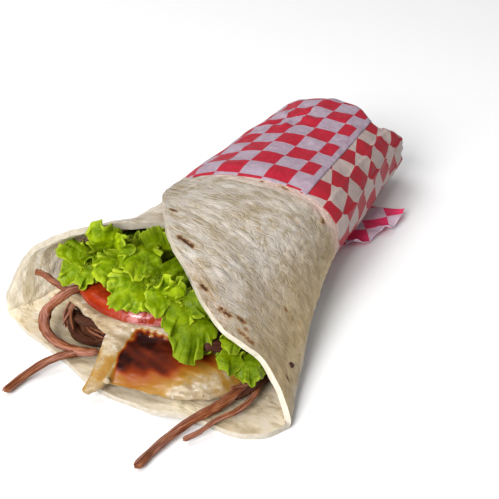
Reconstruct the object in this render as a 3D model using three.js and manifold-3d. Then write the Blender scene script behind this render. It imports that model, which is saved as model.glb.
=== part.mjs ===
// Beef wrap: a flour tortilla rolled into a flaring cone and lying on its side, its rear half in checked
// paper. Out of the open mouth show shredded beef, a seared chicken piece, a tomato slice and lettuce leaves.
// Millimetres, +Z up. The roll runs along Y with its mouth towards -Y and lies on the plane z = 0.
import * as THREE from "three";
import Module from "manifold-3d";
import { mergeVertices } from "three/addons/utils/BufferGeometryUtils.js";

const wasm = await Module();
wasm.setup();

// Where the middle of the footprint lies, measured from the roll's middle at the paper's front edge
const FOOTPRINT_MIDDLE = new THREE.Vector3(2.4, -17.56, 0);
const GAP = 0.35;

// The roll: outside of the paper at its front edge (front) and at its far end (end)
const ROLL_MIDDLE = { front: 4.5, end: 4.0 };
const ROLL_HALF_WIDTH = { front: 39.0, end: 32.0 };
const ROLL_HALF_HEIGHT = { front: 20.8, end: 19.8 };
const ROLL_SQUARENESS = 2.25;
const ROLL_FLATTENING = 1.2;
const ROLL_TILT = 0.07;

const PAPER_THICKNESS = 0.8;
const PAPER_LENGTH = 94.0;
const PAPER_END_ROUND = 10.0;
const PAPER_SEAM_ANGLE = 54;
const PAPER_SEAM_STEP = 0.7;
const PAPER_AROUND = 46;
const PAPER_ROWS = 20;
// Shares of the paper's profile from the end's hub to the front edge: straight wall and rounded end
const PAPER_WALL_SHARE = 0.34;
const PAPER_ROUND_SHARE = 0.13;

const TORTILLA_THICKNESS = 2.2;
const TORTILLA_END = 68.0;
const TORTILLA_OVERLAP_DEPTH = 3.1;
const TORTILLA_COLUMNS = 60;
const TORTILLA_ROWS = 12;
const TORTILLA_GIRTH = 250;
const TORTILLA_RUN = 150;
// Share of the sheet that lies in the paper, and how its flare towards the rim sets in round the roll
const TORTILLA_WAIST_SHARE = 0.38;
const TORTILLA_FLARE = { power: 1.575, swing: 0.425, earliest: 350 };
const TORTILLA_TUCK = { from: 130, to: 235 };
const TORTILLA_SETTLE = { from: 0.03, to: 0.16 };

// The tortilla's rim at the mouth, from its hidden inner edge round the left, the floor and the right
// to the flap
const RIM = [
  { angle: 62, at: [16, -47, 36] },
  { angle: 100, at: [-6, -51.5, 41] },
  { angle: 120, at: [-22.5, -67, 43.5] },
  { angle: 140, at: [-35, -73.5, 40.5] },
  { angle: 165, at: [-49.5, -76, 30.5] },
  { angle: 190, at: [-56, -82, 15] },
  { angle: 203, at: [-57, -83, 6] },
  { angle: 215, at: [-50, -84.5, 1.8] },
  { angle: 245, at: [-25, -93, 1.1] },
  { angle: 262, at: [-5, -101, 1.1] },
  { angle: 276, at: [15, -103, 1.2] },
  { angle: 286, at: [26, -102.5, 3] },
  { angle: 295, at: [35, -100, 1.8] },
  { angle: 306, at: [47, -100, 1.1] },
  { angle: 320, at: [57.5, -96.5, 1.1] },
  { angle: 331, at: [63, -88.5, 1.4] },
  { angle: 338, at: [61.5, -85.5, 5] },
  { angle: 350, at: [56.5, -83, 12] },
  { angle: 364, at: [49, -81, 19.5] },
  { angle: 388, at: [38, -84, 28] },
  { angle: 410, at: [27, -79.5, 34] },
  { angle: 430, at: [15, -71, 40] },
  { angle: 450, at: [3, -62, 45] },
  { angle: 470, at: [-13, -40, 43] },
  { angle: 482, at: [-21.5, -25, 37.8] },
  { angle: 495, at: [-26, -3, 32] },
];

// Corner of the paper that sticks out low on the right, and the dent in the paper's folded end
const PAPER_CORNER = {
  from: 22,
  to: 64,
  root: 14,
  reach: [36, 42.5, 46.5, 48.5, 48],
  rise: 4.5,
  waves: 2.5,
  steady: 0.45,
  thickness: 0.6,
  columns: 14,
  rows: 6,
};
const PAPER_DENT = { angle: 47, depth: 12, spread: 22 };

// How full a lump is towards its rim, on its top and on its underside, and how finely it is split
const LUMP = { spread: 0.8, topRound: 4, topFull: 0.7, underRound: 6, around: 26, rows: 10 };
const CHICKEN = {
  middle: [14, -52],
  outline: [[-5, -105], [3, -98], [14, -98], [27, -95], [38, -88], [44, -77], [36, -45], [26, 0], [16, 44],
    [5, 44], [-3, 0], [-10, -45], [-12, -84], [-11, -97]],
  bottom: 3.2,
  edge: 6,
  top: 17.5,
};
// Pale ledge of the chicken that reaches out to the left, over the beef
const CHICKEN_LEDGE = {
  middle: [-6, -62],
  outline: [[-27, -78], [-19, -84], [-9, -88], [2, -86], [10, -70], [8, -50], [-8, -46], [-20, -54],
    [-26, -66]],
  thickness: 4,
  height: 16,
  rise: -0.16,
};

const TOMATO = {
  middle: [-5, -53],
  radius: 29,
  thickness: 6.5,
  height: 20.3,
  riseX: -0.11,
  riseY: 0.02,
  shoulder: { wide: 3, narrow: 0.8, high: 0.55 },
  around: 40,
};

// Each leaf runs from its root deep in the roll over a neck and a crest to its frilly margin, each given
// as its left and right end
const LEAF_THICKNESS = 1.0;
const LEAF_FRILL = { onset: 4, push: 0.5, curl: 0.4, curlOnset: 5, curlTurn: 7 };
const LEAF_COLUMNS = 20;
const LEAF_ROWS = 9;
const LEAVES = [
  {
    name: "lettuce_leaf_left",
    root: [[-11, 30, 28.5], [7, 40, 29.5]],
    neck: [[-13, -20, 29.4], [4, -20, 30]],
    crest: [[-30, -60, 32], [-3, -58, 32]],
    margin: [[-40, -75, 31.5], [-11, -83, 30]],
    frills: 3,
    depth: 2.6,
  },
  {
    name: "lettuce_leaf_upper",
    root: [[-5, 0, 31.4], [5, 0, 31.9]],
    neck: [[-9, -20, 32.4], [4, -20, 32.8]],
    crest: [[-21, -56, 36.2], [-1, -53, 36.5]],
    margin: [[-27.5, -71, 37.5], [-7, -68, 43]],
    frills: 2.5,
    depth: 2.2,
  },
  {
    name: "lettuce_leaf_middle",
    root: [[11, 40, 29], [21, 40, 28]],
    neck: [[9, -15, 31], [20, -15, 30.5]],
    crest: [[3, -68, 36], [19, -67, 33]],
    margin: [[-8, -85, 32], [20, -87, 26.5]],
    frills: 3,
    depth: 2.8,
  },
  {
    name: "lettuce_leaf_right",
    root: [[25, 20, 28], [30, 20, 22]],
    neck: [[24, -15, 29], [32, -15, 21.5]],
    crest: [[22, -70, 29.5], [43, -70, 19.5]],
    margin: [[19, -92, 19], [51, -85, 14]],
    frills: 3.5,
    depth: 2.6,
  },
];

const STRAND_RADIUS = 1.7;
const STRAND_SIDES = 6;
const STRAND_STEPS = 3;
const CORE_STEPS = 8;
// Beef packed along both sides of the chicken and across behind it
const BEEF_CORE = [
  { through: [[-27, -73, 9.5], [-25, -40, 10], [-19, 0, 11], [-10, 58, 13]], wide: 8.5, high: 5.5 },
  { through: [[51, -73, 8], [43, -40, 10], [34, 0, 12], [23, 58, 13]], wide: 5, high: 5 },
  { through: [[-12, 56, 13], [6, 62, 13], [26, 56, 13]], wide: 8, high: 7 },
];
const BEEF_STRANDS = [
  [[-27, -66, 12], [-31, -75, 17], [-36, -78, 22], [-41, -77.5, 23.5], [-47, -76, 23]],
  [[-28, -64, 11], [-31, -74, 17], [-35, -82, 13], [-36, -87, 8.5], [-30, -91, 5.5], [-21, -91, 6.5],
    [-14.5, -88, 8]],
  [[-24, -70, 9], [-19, -89, 7.5], [-24, -96, 5.8], [-28, -102, 4], [-31, -109, 2.2], [-32, -118, 1.8]],
  [[-29, -66, 9], [-31, -77, 11.5], [-23, -82, 10.5], [-14.5, -86, 10]],
  [[-24, -66, 9], [-27, -77, 14], [-20, -82, 13], [-14, -86, 12]],
  [[-30, -64, 7], [-41, -79, 6], [-30, -84, 6], [-17, -80, 7]],
  [[48, -68, 8], [46, -78, 9], [41, -91, 6], [37.5, -97, 5.2], [33, -106, 3], [30, -116, 2], [29, -129, 1.8]],
  [[51, -70, 8], [50, -80, 8.5], [47.5, -90, 6], [43, -97, 5], [39, -104, 3.4], [36, -111, 1.9]],
  [[51, -66, 8], [48.5, -77, 10], [45, -84, 9.2], [41.5, -88.5, 9.4]],
  [[51, -66, 7], [52, -79, 6.5], [49, -87, 5], [45, -91, 4.6]],
];

const COLOURS = {
  paper: 0xc9526a,
  tortilla: 0xe9dcc3,
  chicken: 0xb98a5b,
  tomato: 0xc8442c,
  lettuce: 0x8fb43a,
  beef: 0x6b4128,
};

const lerp = THREE.MathUtils.lerp;
const smoothstep = THREE.MathUtils.smoothstep;

function signedPower(value, power) {
  return Math.sign(value) * Math.abs(value) ** power;
}

// A point of the roll's flattened round section, set in from the paper's outside
function rollPoint(angle, y, inset) {
  const along = THREE.MathUtils.clamp(y / PAPER_LENGTH, 0, 1);
  const middle = lerp(ROLL_MIDDLE.front, ROLL_MIDDLE.end, along);
  const halfWidth = lerp(ROLL_HALF_WIDTH.front, ROLL_HALF_WIDTH.end, along);
  const halfHeight = lerp(ROLL_HALF_HEIGHT.front, ROLL_HALF_HEIGHT.end, along);
  const turn = THREE.MathUtils.degToRad(angle);
  const side = (halfWidth - inset) * signedPower(Math.cos(turn), 2 / ROLL_SQUARENESS);
  const rise = (halfHeight - inset) * signedPower(Math.sin(turn), 2 / ROLL_SQUARENESS);
  const height = Math.max(halfHeight - ROLL_FLATTENING + rise, inset);
  const tilt = ROLL_TILT * side * height / (2 * halfHeight);
  return new THREE.Vector3(middle + side, y, height + tilt);
}

// Smooth path through the rim's points, read by its angle round the roll
function rimPoint(angle) {
  const passed = RIM.filter((point) => point.angle < angle).length;
  const index = THREE.MathUtils.clamp(passed, 1, RIM.length - 1);
  const span = RIM[index].angle - RIM[index - 1].angle;
  const part = (angle - RIM[index - 1].angle) / span;
  const point = new THREE.Vector3();
  const slope = (i, axis) => {
    const before = RIM[Math.max(i - 1, 0)];
    const after = RIM[Math.min(i + 1, RIM.length - 1)];
    return (after.at[axis] - before.at[axis]) / (after.angle - before.angle);
  };
  const part2 = part * part;
  const part3 = part2 * part;
  for (let axis = 0; axis < 3; axis += 1) {
    const value = (2 * part3 - 3 * part2 + 1) * RIM[index - 1].at[axis]
      + (part3 - 2 * part2 + part) * span * slope(index - 1, axis)
      + (3 * part2 - 2 * part3) * RIM[index].at[axis]
      + (part3 - part2) * span * slope(index, axis);
    point.setComponent(axis, value);
  }
  return point;
}

// Middle of the tortilla's sheet: across follows the roll round, along goes from the far end to the rim
function tortillaPoint(across, along) {
  const angle = lerp(RIM[0].angle, RIM[RIM.length - 1].angle, across);
  const wrapped = PAPER_THICKNESS + GAP + TORTILLA_THICKNESS / 2;
  const tucked = TORTILLA_OVERLAP_DEPTH * (1 - smoothstep(angle, TORTILLA_TUCK.from, TORTILLA_TUCK.to));
  if (along < TORTILLA_WAIST_SHARE) {
    return rollPoint(angle, TORTILLA_END * (1 - along / TORTILLA_WAIST_SHARE), wrapped + tucked);
  }
  const waist = rollPoint(angle, 0, wrapped + tucked);
  const rim = rimPoint(angle);
  const part = (along - TORTILLA_WAIST_SHARE) / (1 - TORTILLA_WAIST_SHARE);
  const { power, swing, earliest } = TORTILLA_FLARE;
  const flare = part ** (power - swing * Math.cos(THREE.MathUtils.degToRad(angle - earliest)));
  const settled = smoothstep(part, TORTILLA_SETTLE.from, TORTILLA_SETTLE.to);
  const floor = TORTILLA_THICKNESS / 2 + (PAPER_THICKNESS + GAP) * (1 - settled);
  return new THREE.Vector3(
    lerp(waist.x, rim.x, flare),
    lerp(waist.y, rim.y, part),
    Math.max(lerp(waist.z, rim.z, flare), floor),
  );
}

// Bends a flat grid along a surface and closes it to a sheet, both faces split into the same triangles
function sheetGeometry(surface, columns, rows, thickness) {
  const grid = new THREE.PlaneGeometry(1, 1, columns, rows);
  const uv = grid.attributes.uv;
  const count = uv.count;
  const step = 1e-3;
  const positions = new Float32Array(count * 6);
  for (let i = 0; i < count; i += 1) {
    const u = uv.getX(i);
    const v = uv.getY(i);
    const tangentU = surface(Math.min(u + step, 1), v).sub(surface(Math.max(u - step, 0), v));
    const tangentV = surface(u, Math.min(v + step, 1)).sub(surface(u, Math.max(v - step, 0)));
    const normal = tangentU.cross(tangentV).normalize().multiplyScalar(thickness / 2);
    const middle = surface(u, v);
    middle.clone().add(normal).toArray(positions, i * 3);
    middle.clone().sub(normal).toArray(positions, (i + count) * 3);
  }
  const top = Array.from(grid.index.array);
  const index = [...top];
  for (let i = 0; i < top.length; i += 3) {
    index.push(top[i] + count, top[i + 2] + count, top[i + 1] + count);
  }
  const ring = borderLoop(columns, rows);
  ring.forEach((here, i) => {
    const next = ring[(i + 1) % ring.length];
    index.push(here, here + count, next, next, here + count, next + count);
  });
  const geometry = new THREE.BufferGeometry();
  geometry.setAttribute("position", new THREE.BufferAttribute(positions, 3));
  geometry.setIndex(index);
  return geometry;
}

// Numbers of a grid's border points, in order round it
function borderLoop(columns, rows) {
  const width = columns + 1;
  const loop = [];
  for (let i = 0; i < columns; i += 1) loop.push(i);
  for (let j = 0; j < rows; j += 1) loop.push(columns + j * width);
  for (let i = columns; i > 0; i -= 1) loop.push(i + rows * width);
  for (let j = rows; j > 0; j -= 1) loop.push(j * width);
  return loop.reverse();
}

// Moves the points of a sphere, read as a turn round it and a share of the way from pole to pole
function bentSphere(place, around, rows) {
  const geometry = new THREE.SphereGeometry(1, around, rows);
  const position = geometry.attributes.position;
  const uv = geometry.attributes.uv;
  for (let i = 0; i < position.count; i += 1) {
    const row = Math.round((1 - uv.getY(i)) * rows);
    const point = place((i % (around + 1)) / around, row / rows);
    position.setXYZ(i, point.x, point.y, point.z);
  }
  return geometry;
}

function toSolid(geometry) {
  geometry.deleteAttribute("normal");
  geometry.deleteAttribute("uv");
  const merged = mergeVertices(geometry, 1e-4);
  const corners = Array.from(merged.index.array);
  const triVerts = [];
  for (let i = 0; i < corners.length; i += 3) {
    const [a, b, c] = corners.slice(i, i + 3);
    if (a !== b && b !== c && c !== a) triVerts.push(a, b, c);
  }
  const mesh = new wasm.Mesh({
    numProp: 3,
    vertProperties: new Float32Array(merged.attributes.position.array),
    triVerts: new Uint32Array(triVerts),
  });
  const solid = new wasm.Manifold(mesh);
  if (solid.volume() > 0) return solid;
  mesh.triVerts = mesh.triVerts.map((_, i, all) => all[i - (i % 3) + [0, 2, 1][i % 3]]);
  return new wasm.Manifold(mesh);
}

// The largest body of a solid, so that loose scraps are dropped and sealed hollows are filled
function largestBody(solid) {
  const bodies = solid.decompose();
  return bodies.reduce((best, body) => (body.volume() > best.volume() ? body : best));
}

// A piece trimmed to stay clear of its neighbours
function fitted(solid, neighbours) {
  const trimmed = neighbours.reduce((left, neighbour) => left.subtract(neighbour), solid);
  return largestBody(trimmed);
}

function meshOf(name, solid, colour, roughness) {
  const { vertProperties, triVerts } = solid.getMesh();
  const geometry = new THREE.BufferGeometry();
  geometry.setAttribute("position", new THREE.BufferAttribute(new Float32Array(vertProperties), 3));
  geometry.setIndex(Array.from(triVerts));
  const material = new THREE.MeshStandardMaterial({ color: colour, roughness, metalness: 0 });
  const mesh = new THREE.Mesh(geometry, material);
  mesh.name = name;
  return mesh;
}

// The tortilla, or with grow the same sheet made larger all round
function makeTortilla(grow) {
  const widen = (share, length) => share + (2 * share - 1) * grow / length;
  const surface = (across, along) => tortillaPoint(widen(across, TORTILLA_GIRTH), widen(along, TORTILLA_RUN));
  return toSolid(sheetGeometry(surface, TORTILLA_COLUMNS, TORTILLA_ROWS, TORTILLA_THICKNESS + 2 * grow));
}

// The paper is a sleeve shut at its far end. Its wall is one sheet that overlaps itself at the seam.
function makePaper() {
  const step = 1 / PAPER_AROUND;
  const almostRound = 359;
  const floorFade = { from: -0.9, to: -0.3 };
  const wallStart = 0.5 - PAPER_WALL_SHARE;
  const roundStart = wallStart - PAPER_ROUND_SHARE;
  const place = (turn, share) => {
    const inside = share > 0.5;
    const way = inside ? 1 - share : share;
    const lap = Math.min(turn / (1 - step), 1);
    const angle = PAPER_SEAM_ANGLE + almostRound * lap + Math.max(turn - 1 + step, 0) / step;
    const lift = turn > 1 - step / 2 ? PAPER_SEAM_STEP : PAPER_SEAM_STEP * (1 - lap);
    const offFloor = smoothstep(Math.sin(THREE.MathUtils.degToRad(angle)), floorFade.from, floorFade.to);
    const wall = inside ? PAPER_THICKNESS : -lift * offFloor;
    const fromDent = (((angle - PAPER_DENT.angle + 540) % 360) - 180) / PAPER_DENT.spread;
    const dent = PAPER_DENT.depth * Math.exp(-fromDent * fromDent);
    const length = PAPER_LENGTH - (inside ? PAPER_THICKNESS : 0);
    if (way > wallStart) {
      const part = (0.5 - way) / PAPER_WALL_SHARE;
      return rollPoint(angle, (length - dent - PAPER_END_ROUND) * part, wall);
    }
    if (way > roundStart) {
      const bend = (wallStart - way) / PAPER_ROUND_SHARE * Math.PI / 2;
      const y = length - dent - PAPER_END_ROUND * (1 - Math.sin(bend));
      return rollPoint(angle, y, wall + PAPER_END_ROUND * (1 - Math.cos(bend)));
    }
    const edge = rollPoint(angle, length - dent, wall + PAPER_END_ROUND);
    const hub = new THREE.Vector3(ROLL_MIDDLE.end, length, ROLL_HALF_HEIGHT.end);
    return hub.lerp(edge, way / roundStart);
  };
  const { thickness, columns, rows } = PAPER_CORNER;
  const corner = sheetGeometry(paperCornerPoint, columns, rows, thickness);
  return largestBody(toSolid(bentSphere(place, PAPER_AROUND, PAPER_ROWS)).add(toSolid(corner)));
}

// The loose corner leaves the wall under its right side and lifts in waves towards its edge
function paperCornerPoint(across, along) {
  const { from, to, root, reach, rise, waves, steady } = PAPER_CORNER;
  const edge = new THREE.SplineCurve(reach.map((x, i) => new THREE.Vector2(x, i))).getPoint(across).x;
  const wave = 0.5 + 0.5 * Math.sin(across * waves * 2 * Math.PI);
  return new THREE.Vector3(
    lerp(root, edge, along),
    lerp(from, to, across),
    PAPER_THICKNESS / 2 + rise * along ** 3 * lerp(steady, 1, wave),
  );
}

// A lump with a rounded rim: its outline is drawn in plan, its top and bottom are smooth domes
function lumpSolid({ middle, outline, bottom, edge, top }, grow, rise) {
  const plan = new THREE.CatmullRomCurve3(outline.map(([x, y]) => new THREE.Vector3(x, y, 0)), true);
  const place = (turn, share) => {
    const above = share <= 0.5;
    const out = Math.sin(Math.PI * share) ** LUMP.spread;
    const rim = plan.getPoint(turn);
    const hub = new THREE.Vector3(middle[0], middle[1], 0);
    const grown = rim.clone().sub(hub).normalize().multiplyScalar(grow).add(rim);
    const point = hub.lerp(grown, out);
    const high = edge + (top + grow - edge) * (1 - out ** LUMP.topRound) ** LUMP.topFull;
    const low = edge - (edge + grow - bottom) * (1 - out ** LUMP.underRound);
    point.z = (above ? high : low) + rise * (point.x - middle[0]);
    return point;
  };
  return toSolid(bentSphere(place, LUMP.around, LUMP.rows));
}

function makeChicken(grow) {
  const half = CHICKEN_LEDGE.thickness / 2;
  const ledge = {
    ...CHICKEN_LEDGE,
    bottom: CHICKEN_LEDGE.height - half,
    edge: CHICKEN_LEDGE.height,
    top: CHICKEN_LEDGE.height + half,
  };
  return largestBody(lumpSolid(CHICKEN, grow, 0).add(lumpSolid(ledge, grow, CHICKEN_LEDGE.rise)));
}

// A round slice with a rounded skin side, lying at a slant
function makeTomato(grow) {
  const { middle, radius, thickness, height, riseX, riseY, shoulder, around } = TOMATO;
  const half = thickness / 2 + grow;
  const reach = radius + grow;
  const { wide, narrow, high } = shoulder;
  const profile = [[0, -half], [reach - wide, -half], [reach - narrow, -half * high], [reach, 0],
    [reach - narrow, half * high], [reach - wide, half], [0, half]];
  const slice = new THREE.LatheGeometry(profile.map(([x, y]) => new THREE.Vector2(x, y)), around);
  slice.rotateX(Math.PI / 2);
  const position = slice.attributes.position;
  for (let i = 0; i < position.count; i += 1) {
    const slant = riseX * position.getX(i) + riseY * position.getY(i);
    position.setZ(i, position.getZ(i) + slant + height + thickness / 2);
  }
  slice.translate(middle[0], middle[1], 0);
  return toSolid(slice);
}

// A leaf bends from its root over its crest to the margin, and its frills grow towards the margin
function leafPoint(leaf, across, along) {
  const station = ([left, right]) => new THREE.Vector3(...left).lerp(new THREE.Vector3(...right), across);
  const stations = [leaf.root, leaf.neck, leaf.crest, leaf.margin].map(station);
  const spine = new THREE.CatmullRomCurve3(stations);
  const point = spine.getPoint(along);
  const { onset, push, curl, curlOnset, curlTurn } = LEAF_FRILL;
  const frill = leaf.depth * along ** onset * Math.sin(across * leaf.frills * 2 * Math.PI);
  const curlPhase = across * leaf.frills * Math.PI + along * curlTurn;
  point.y -= push * frill;
  point.z += frill + curl * leaf.depth * along ** curlOnset * Math.sin(curlPhase);
  return point;
}

function makeLeaf(leaf, grow) {
  const surface = (across, along) => leafPoint(leaf, across, along);
  return toSolid(sheetGeometry(surface, LEAF_COLUMNS, LEAF_ROWS, LEAF_THICKNESS + 2 * grow));
}

// A strand or a packed length: an oval section drawn along a smooth path
function strandSolid(points, wide, high, steps) {
  const path = new THREE.CatmullRomCurve3(points.map((point) => new THREE.Vector3(...point)));
  const corners = [];
  for (let i = 0; i < STRAND_SIDES; i += 1) {
    const turn = i / STRAND_SIDES * 2 * Math.PI;
    corners.push(new THREE.Vector2(high * Math.cos(turn), wide * Math.sin(turn)));
  }
  const options = { steps, bevelEnabled: false, extrudePath: path };
  return toSolid(new THREE.ExtrudeGeometry(new THREE.Shape(corners), options));
}

function makeBeef(grow) {
  const cores = BEEF_CORE.map(
    ({ through, wide, high }) => strandSolid(through, wide + grow, high + grow, CORE_STEPS),
  );
  const radius = STRAND_RADIUS + grow;
  const strands = BEEF_STRANDS.map(
    (points) => strandSolid(points, radius, radius, STRAND_STEPS * (points.length - 1)),
  );
  return [...cores, ...strands].reduce((heap, piece) => heap.add(piece));
}

const group = new THREE.Group();
const tortilla = makeTortilla(0);
group.add(meshOf("tortilla", tortilla, COLOURS.tortilla, 0.8));
group.add(meshOf("paper_wrapper", makePaper(), COLOURS.paper, 0.6));

const walls = makeTortilla(GAP);
const chicken = fitted(makeChicken(0), [walls]);
const besideChicken = makeChicken(GAP);
const tomato = fitted(makeTomato(0), [walls, besideChicken]);
const besideTomato = makeTomato(GAP);
const beef = fitted(makeBeef(0), [walls, besideChicken, besideTomato]);
group.add(meshOf("chicken_piece", chicken, COLOURS.chicken, 0.55));
group.add(meshOf("tomato_slice", tomato, COLOURS.tomato, 0.3));
group.add(meshOf("shredded_beef", beef, COLOURS.beef, 0.5));

const taken = [walls, besideChicken, besideTomato, makeBeef(GAP)];
for (const leaf of LEAVES) {
  group.add(meshOf(leaf.name, fitted(makeLeaf(leaf, 0), taken), COLOURS.lettuce, 0.45));
  taken.push(makeLeaf(leaf, GAP));
}
group.position.copy(FOOTPRINT_MIDDLE).negate();

export default group;
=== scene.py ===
import functools
import math
import random

import bmesh
import bpy
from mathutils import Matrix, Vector, noise
from mathutils.bvhtree import BVHTree


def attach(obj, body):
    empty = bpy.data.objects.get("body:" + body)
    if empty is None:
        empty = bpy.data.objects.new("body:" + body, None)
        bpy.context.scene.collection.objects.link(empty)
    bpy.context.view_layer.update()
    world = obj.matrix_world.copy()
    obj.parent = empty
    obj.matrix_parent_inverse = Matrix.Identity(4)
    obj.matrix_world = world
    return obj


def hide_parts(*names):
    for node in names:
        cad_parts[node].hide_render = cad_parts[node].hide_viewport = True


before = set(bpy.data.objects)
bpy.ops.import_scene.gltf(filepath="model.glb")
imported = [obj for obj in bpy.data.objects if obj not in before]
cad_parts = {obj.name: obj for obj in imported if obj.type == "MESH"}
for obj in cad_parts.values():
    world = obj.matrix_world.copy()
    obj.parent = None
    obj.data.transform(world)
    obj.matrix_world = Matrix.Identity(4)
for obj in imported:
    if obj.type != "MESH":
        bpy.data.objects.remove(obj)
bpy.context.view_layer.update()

print("frame loaded with", len(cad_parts), "nodes")

# Shapes are worked out in millimetres round the roll's own origin: on the table, under the roll's
# middle at the paper's front edge. makePiece moves them to the frame and turns them to metres.
mm = 0.001
weld = 0.002
frameOrigin = Vector((2.4, -17.56, 0.0))


def mix(first, second, part):
    return first + (second - first) * part


def ease(low, high, value):  # 0 at low, 1 at high, smooth between, also from a larger low
    part = min(max((value - low) / (high - low), 0.0), 1.0)
    return part * part * (3 - 2 * part)


def bell(distance, width):
    return math.exp(-(distance / width) ** 2)


def grain(x, y=0.0, z=0.0):  # soft noise from -1 to 1
    return noise.noise(Vector((x, y, z)))


def apart(angle, other):  # degrees between two angles, from -180 to 180
    return (angle - other + 180) % 360 - 180


def turned(x, y, turn):
    return x * math.cos(turn) - y * math.sin(turn), x * math.sin(turn) + y * math.cos(turn)


def linear(red, green, blue):  # screen colour from 0 to 255, as the shaders want it
    def one(value):
        share = value / 255
        return share / 12.92 if share <= 0.04045 else ((share + 0.055) / 1.055) ** 2.4
    return (one(red), one(green), one(blue), 1.0)


def curve(start, leave, end, arrive, part):  # from start to end, with the flow at each
    square, cube = part * part, part ** 3
    return (start * (2 * cube - 3 * square + 1) + leave * (cube - 2 * square + part)
            + end * (3 * square - 2 * cube) + arrive * (cube - square))


# Smooth path through points, with the same even flow as the solids' own paths
def pathPoint(points, part):
    spans = len(points) - 1
    index = min(int(part * spans), spans - 1)
    start, end = points[index], points[index + 1]
    before = points[index - 1] if index > 0 else 2 * start - end
    after = points[index + 2] if index + 2 <= spans else 2 * end - start
    gaps = [max((b - a).length, 1e-4) ** 0.5 for a, b in ((before, start), (start, end), (end, after))]

    def flow(first, second, third, gapOne, gapTwo):
        lead = (second - first) / gapOne - (third - first) / (gapOne + gapTwo)
        return (lead + (third - second) / gapTwo) * gaps[1]

    leave = flow(before, start, end, gaps[0], gaps[1])
    arrive = flow(start, end, after, gaps[1], gaps[2])
    return curve(start, leave, end, arrive, part * spans - index)


def vectors(points):
    return [Vector(point) for point in points]


# A flat grid laid over a surface. flat keeps where each point lay, for reliefs and materials.
def bentGrid(bm, columns, rows, surface, closed=False):
    flat = bm.verts.layers.float_vector.get("flat") or bm.verts.layers.float_vector.new("flat")
    made = bmesh.ops.create_grid(bm, x_segments=columns, y_segments=rows, size=0.5)["verts"]
    for vert in made:
        u, v = vert.co.x + 0.5, vert.co.y + 0.5
        vert[flat] = (u, v, 0.0)
        vert.co = surface(u, v)
    if closed:
        bmesh.ops.remove_doubles(bm, verts=made, dist=weld)
        made = [vert for vert in made if vert.is_valid]
        faces = {face for vert in made for face in vert.link_faces}
        bmesh.ops.recalc_face_normals(bm, faces=list(faces))
    bm.normal_update()
    return made


def addLayers(bm, *names):
    return [bm.verts.layers.float.new(name) for name in names]


def addObject(name, data):
    made = bpy.data.objects.new(name, data)
    bpy.context.scene.collection.objects.link(made)
    return made


def makePiece(bm, name, materials, slot, *nodes):
    bmesh.ops.translate(bm, verts=bm.verts, vec=-frameOrigin)
    bmesh.ops.scale(bm, verts=bm.verts, vec=(mm, mm, mm))
    for face in bm.faces:
        face.smooth = True
    mesh = bpy.data.meshes.new(name)
    bm.to_mesh(mesh)
    bm.free()
    for material in materials:
        mesh.materials.append(material)
    piece = addObject(name, mesh)
    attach(piece, "root")
    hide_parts(*nodes)
    print("made", name, "with", len(mesh.polygons), "faces")
    return piece


def thicken(piece, thickness, offset=0.0, inside=0, rim=0):
    wall = piece.modifiers.new("thickness", "SOLIDIFY")
    wall.thickness = thickness * mm
    wall.offset = offset
    wall.material_offset = inside
    wall.material_offset_rim = rim


# Keeps points on the inner side of a wall, at least clear away from its middle
def keepInside(verts, wallTree, clear, reach):
    for vert in verts:
        spot, normal, _, distance = wallTree.find_nearest(vert.co, reach)
        if spot is None:
            continue
        side = (vert.co - spot).dot(normal)
        if side > -clear and abs(side) > 0.6 * distance:
            vert.co = spot - normal * clear


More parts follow.
